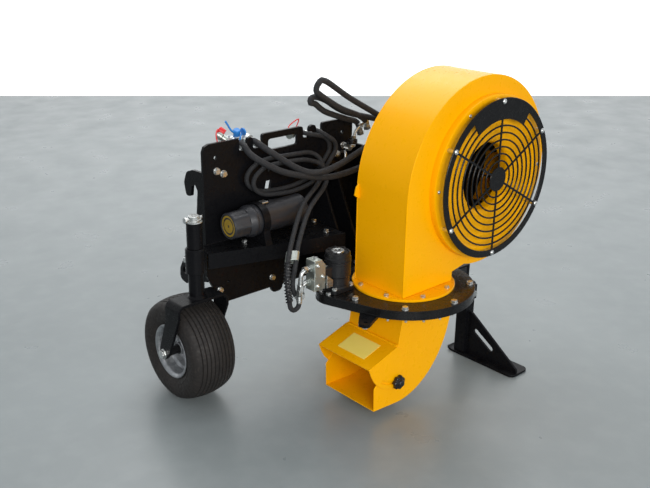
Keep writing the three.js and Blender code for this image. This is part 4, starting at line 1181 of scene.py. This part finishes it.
def hood():
    inside = CHUTE_HALF + 0.5
    front, back = TURRET_Y - inside - SHEET, TURRET_Y + inside + SHEET
    wing = corners_of([(28, 216), (-87, 179), (-78, 156, 8), (-64, 130, 20), (-46, 111, 20), (-24, 96, 20),
                       (0, 86, 20), (30, 79, 20), (56, 81, 14), (70, 98, 14), (68, 130, 20), (44, 205)])
    reach = math.hypot(KNOB_X - HINGE_X, KNOB_Z - HINGE_Z)
    slot_half, slot_from, slot_to, step = 4.6, -127, -84, 3
    slot = ([spot(HINGE_X, HINGE_Z, reach + slot_half, a) for a in range(slot_from, slot_to + 1, step)]
            + [spot(HINGE_X, HINGE_Z, reach - slot_half, a) for a in range(slot_to, slot_from - 1, -step)])
    cover = Shape()
    cover.plate([wing, slot], "XZ", front, front + SHEET, 0.7)
    cover.plate([wing], "XZ", back - SHEET, back, 0.7)
    slope = [Vector((28, 216)), Vector((-87, 179)), Vector((-86, 176)), Vector((29, 212.9))]
    cover.plate([slope], "XZ", front + 0.6, back - 0.6, 0.5)
    knuckles = 9
    for i in range(knuckles):
        y = front + 4 + i * (back - front - 8) / knuckles
        cover.turned([(0.5, 0.4), (3.6, 0.4), (4.2, 1.2), (4.2, 22.2), (3.6, 23), (0.5, 23)],
                     (30.5, y, 215.5), BACK, 16)
    cover.piece("hood_cover", YELLOW, "hood", ["hood"], 28)
    fold = Vector((-115, -37)).normalized()
    label = Shape()
    start, end = Vector((6, 209.2)), Vector((-62, 187.3))
    lift = Vector((-fold.y, fold.x)) * -0.7
    places = ((start, -62), (start, 50), (end, 50), (end, -62))
    quad = [Vector((p.x, TURRET_Y + y, p.y)) for p, y in places]
    raised = [p + Vector((lift.x, 0, lift.y)) for p in quad]
    label.grid([quad, raised], False, True)
    for face in (quad, raised):
        label.add(face, [[0, 1, 2, 3]])
    label.piece("hood_label", LABEL, "hood")


def hood_knob():
    centre = (KNOB_X, TURRET_Y - CHUTE_HALF - 0.5 - SHEET - 0.5, KNOB_Z)
    radius = (KNOB_HIGH.x - KNOB_LOW.x) / 2
    knob = Shape()
    knob.turned([(0.3, 0), (radius * 0.84, 0.4), (radius * 0.97, 2.5), (radius, 5), (radius, 9.5),
                 (radius * 0.96, 12.5), (radius * 0.86, 14.2)], centre, FRONT, 112, 0, False, 7, 0.17)
    knob.turned([(radius * 0.70, 13.6), (11.5, 15.5), (10.6, 20), (9, 22), (0.3, 22.6)], centre, FRONT, 112)
    knob.turned([(radius * 0.80, 13.9), (radius * 0.60, 14.4), (10, 14.6)], centre, FRONT, 112)
    knob.turned([(3.6, 0.5), (3.6, -12), (3.0, -12.6), (0.3, -12.6)], centre, FRONT, 24, 1)
    knob.piece("star_knob", [KNOB_PLASTIC, ZINC], "hood_knob", ["hood_knob"], 50)


# ---- Parking leg ----


def parking_leg():
    carry(BLACK, "leg_post", "leg_socket", "leg_foot", "leg_gusset", width=1.4)
    carry(ZINC, "leg_clamp_bolt", width=0.8)
    low, high = box_mm("leg_post")
    cap = Shape()
    lid = rectangle(low.x + 0.5, low.y + 0.5, high.x - 0.5, high.y - 0.5, 4)
    cap.plate([lid], "XY", high.z, high.z + 3, 1.2)
    cap.piece("leg_post_cap", KNOB_PLASTIC, "leg")
    welds = Shape()
    foot_top = box_mm("leg_foot")[0].z + 8.6
    middle_x = middle_mm("leg_post")[0]
    for x in (middle_x - 4.6, middle_x + 4.6):
        welds.tube([(x, low.y - out, foot_top + 1) for out in (4, 100, 196)], 1.8, 8)
        welds.tube([(x, low.y - 1, z) for z in (foot_top + 10, 80, 150)], 1.8, 8)
    welds.piece("leg_welds", BLACK, "leg")
    bolts = Shape()
    arm_low, arm_high = box_mm("side_arm")
    for y in (-150, -250, -350):
        bolts.bolt((middle_mm("side_arm")[0], y, arm_high.z), UP, 15)
    bolts.piece("side_arm_bolts", ZINC, "frame")
    end = Shape()
    bore = rectangle(arm_low.x + 5.5, arm_low.z + 5.5, arm_high.x - 5.5, arm_high.z - 5.5, 3)
    end.plate([bore], "XZ", arm_low.y + 0.5, arm_low.y + 3.5, 0.8)
    end.piece("side_arm_plug", KNOB_PLASTIC, "frame")


# ---- Stage, light and camera ----


def stage():
    def sheet(name, points, material):
        mesh = bpy.data.meshes.new(name)
        mesh.from_pydata(points, [], [[0, 1, 2, 3]])
        mesh.materials.append(material)
        placed(name, mesh)

    camera_way = Vector((math.sin(CAMERA_YAW), math.cos(CAMERA_YAW), 0))
    across = Vector((camera_way.y, -camera_way.x, 0))
    far, near, wide = 4.6, -30.0, 30.0
    left, right = across * -wide, across * wide
    front, back, rise = camera_way * near, camera_way * far, Vector((0, 0, 7))
    sheet("floor", [left + front, right + front, right + back, left + back], floor_paint())
    sheet("backdrop", [left + back, right + back, right + back + rise, left + back + rise], wall_paint())


def area_light(name, place, aim, size, power, tint=(1, 1, 1)):
    data = bpy.data.lights.new(name, "AREA")
    data.shape = "RECTANGLE"
    data.size, data.size_y = size
    data.energy = power
    data.color = tint
    obj = placed(name, data)
    obj.location = place
    obj.rotation_euler = (Vector(aim) - Vector(place)).to_track_quat("-Z", "Y").to_euler()


def lights():
    area_light("ceiling", (1.1, 1.5, 3.2), (0.6, 0.9, 0), (3.4, 3.4), 86)
    area_light("key", (-2.4, -3.6, 1.9), (0.1, 0, 0.45), (2.6, 1.6), 124, (1.0, 0.99, 0.97))
    area_light("side", (0.4, -3.8, 1.3), (0.3, -0.2, 0.5), (1.8, 1.4), 26, (1.0, 0.99, 0.98))
    world = bpy.data.worlds.new("studio")
    bpy.context.scene.world = world
    world.use_nodes = True
    background = world.node_tree.nodes["Background"]
    background.inputs["Color"].default_value = (0.93, 0.96, 1.0, 1)
    background.inputs["Strength"].default_value = 0.5


CAMERA_YAW, CAMERA_PITCH = 0.7013, -0.3598


def camera():
    data = bpy.data.cameras.new("camera")
    data.lens = 48.54
    data.sensor_width = 36
    data.shift_x, data.shift_y = 0.0475, -0.0022
    data.clip_start, data.clip_end = 0.05, 60
    obj = placed("camera", data)
    obj.location = at(-1678, -2053, 1402)
    obj.rotation_euler = (math.pi / 2 + CAMERA_PITCH, 0, -CAMERA_YAW)
    bpy.context.scene.camera = obj


hitch_frame()
upright_weld()
document_tube()
kingpin_stack()
ribbed_tyre()
pressed_rim()
turret()
steering_motor()
steering_valve()
volute()
inlet()
guard()
fan_motor()
hydraulic_lines()
hose_clamp()
spiral_guard()
couplers()
chute()
hood()
hood_knob()
parking_leg()
stage()
lights()
camera()
bpy.context.scene.view_settings.view_transform = "Standard"
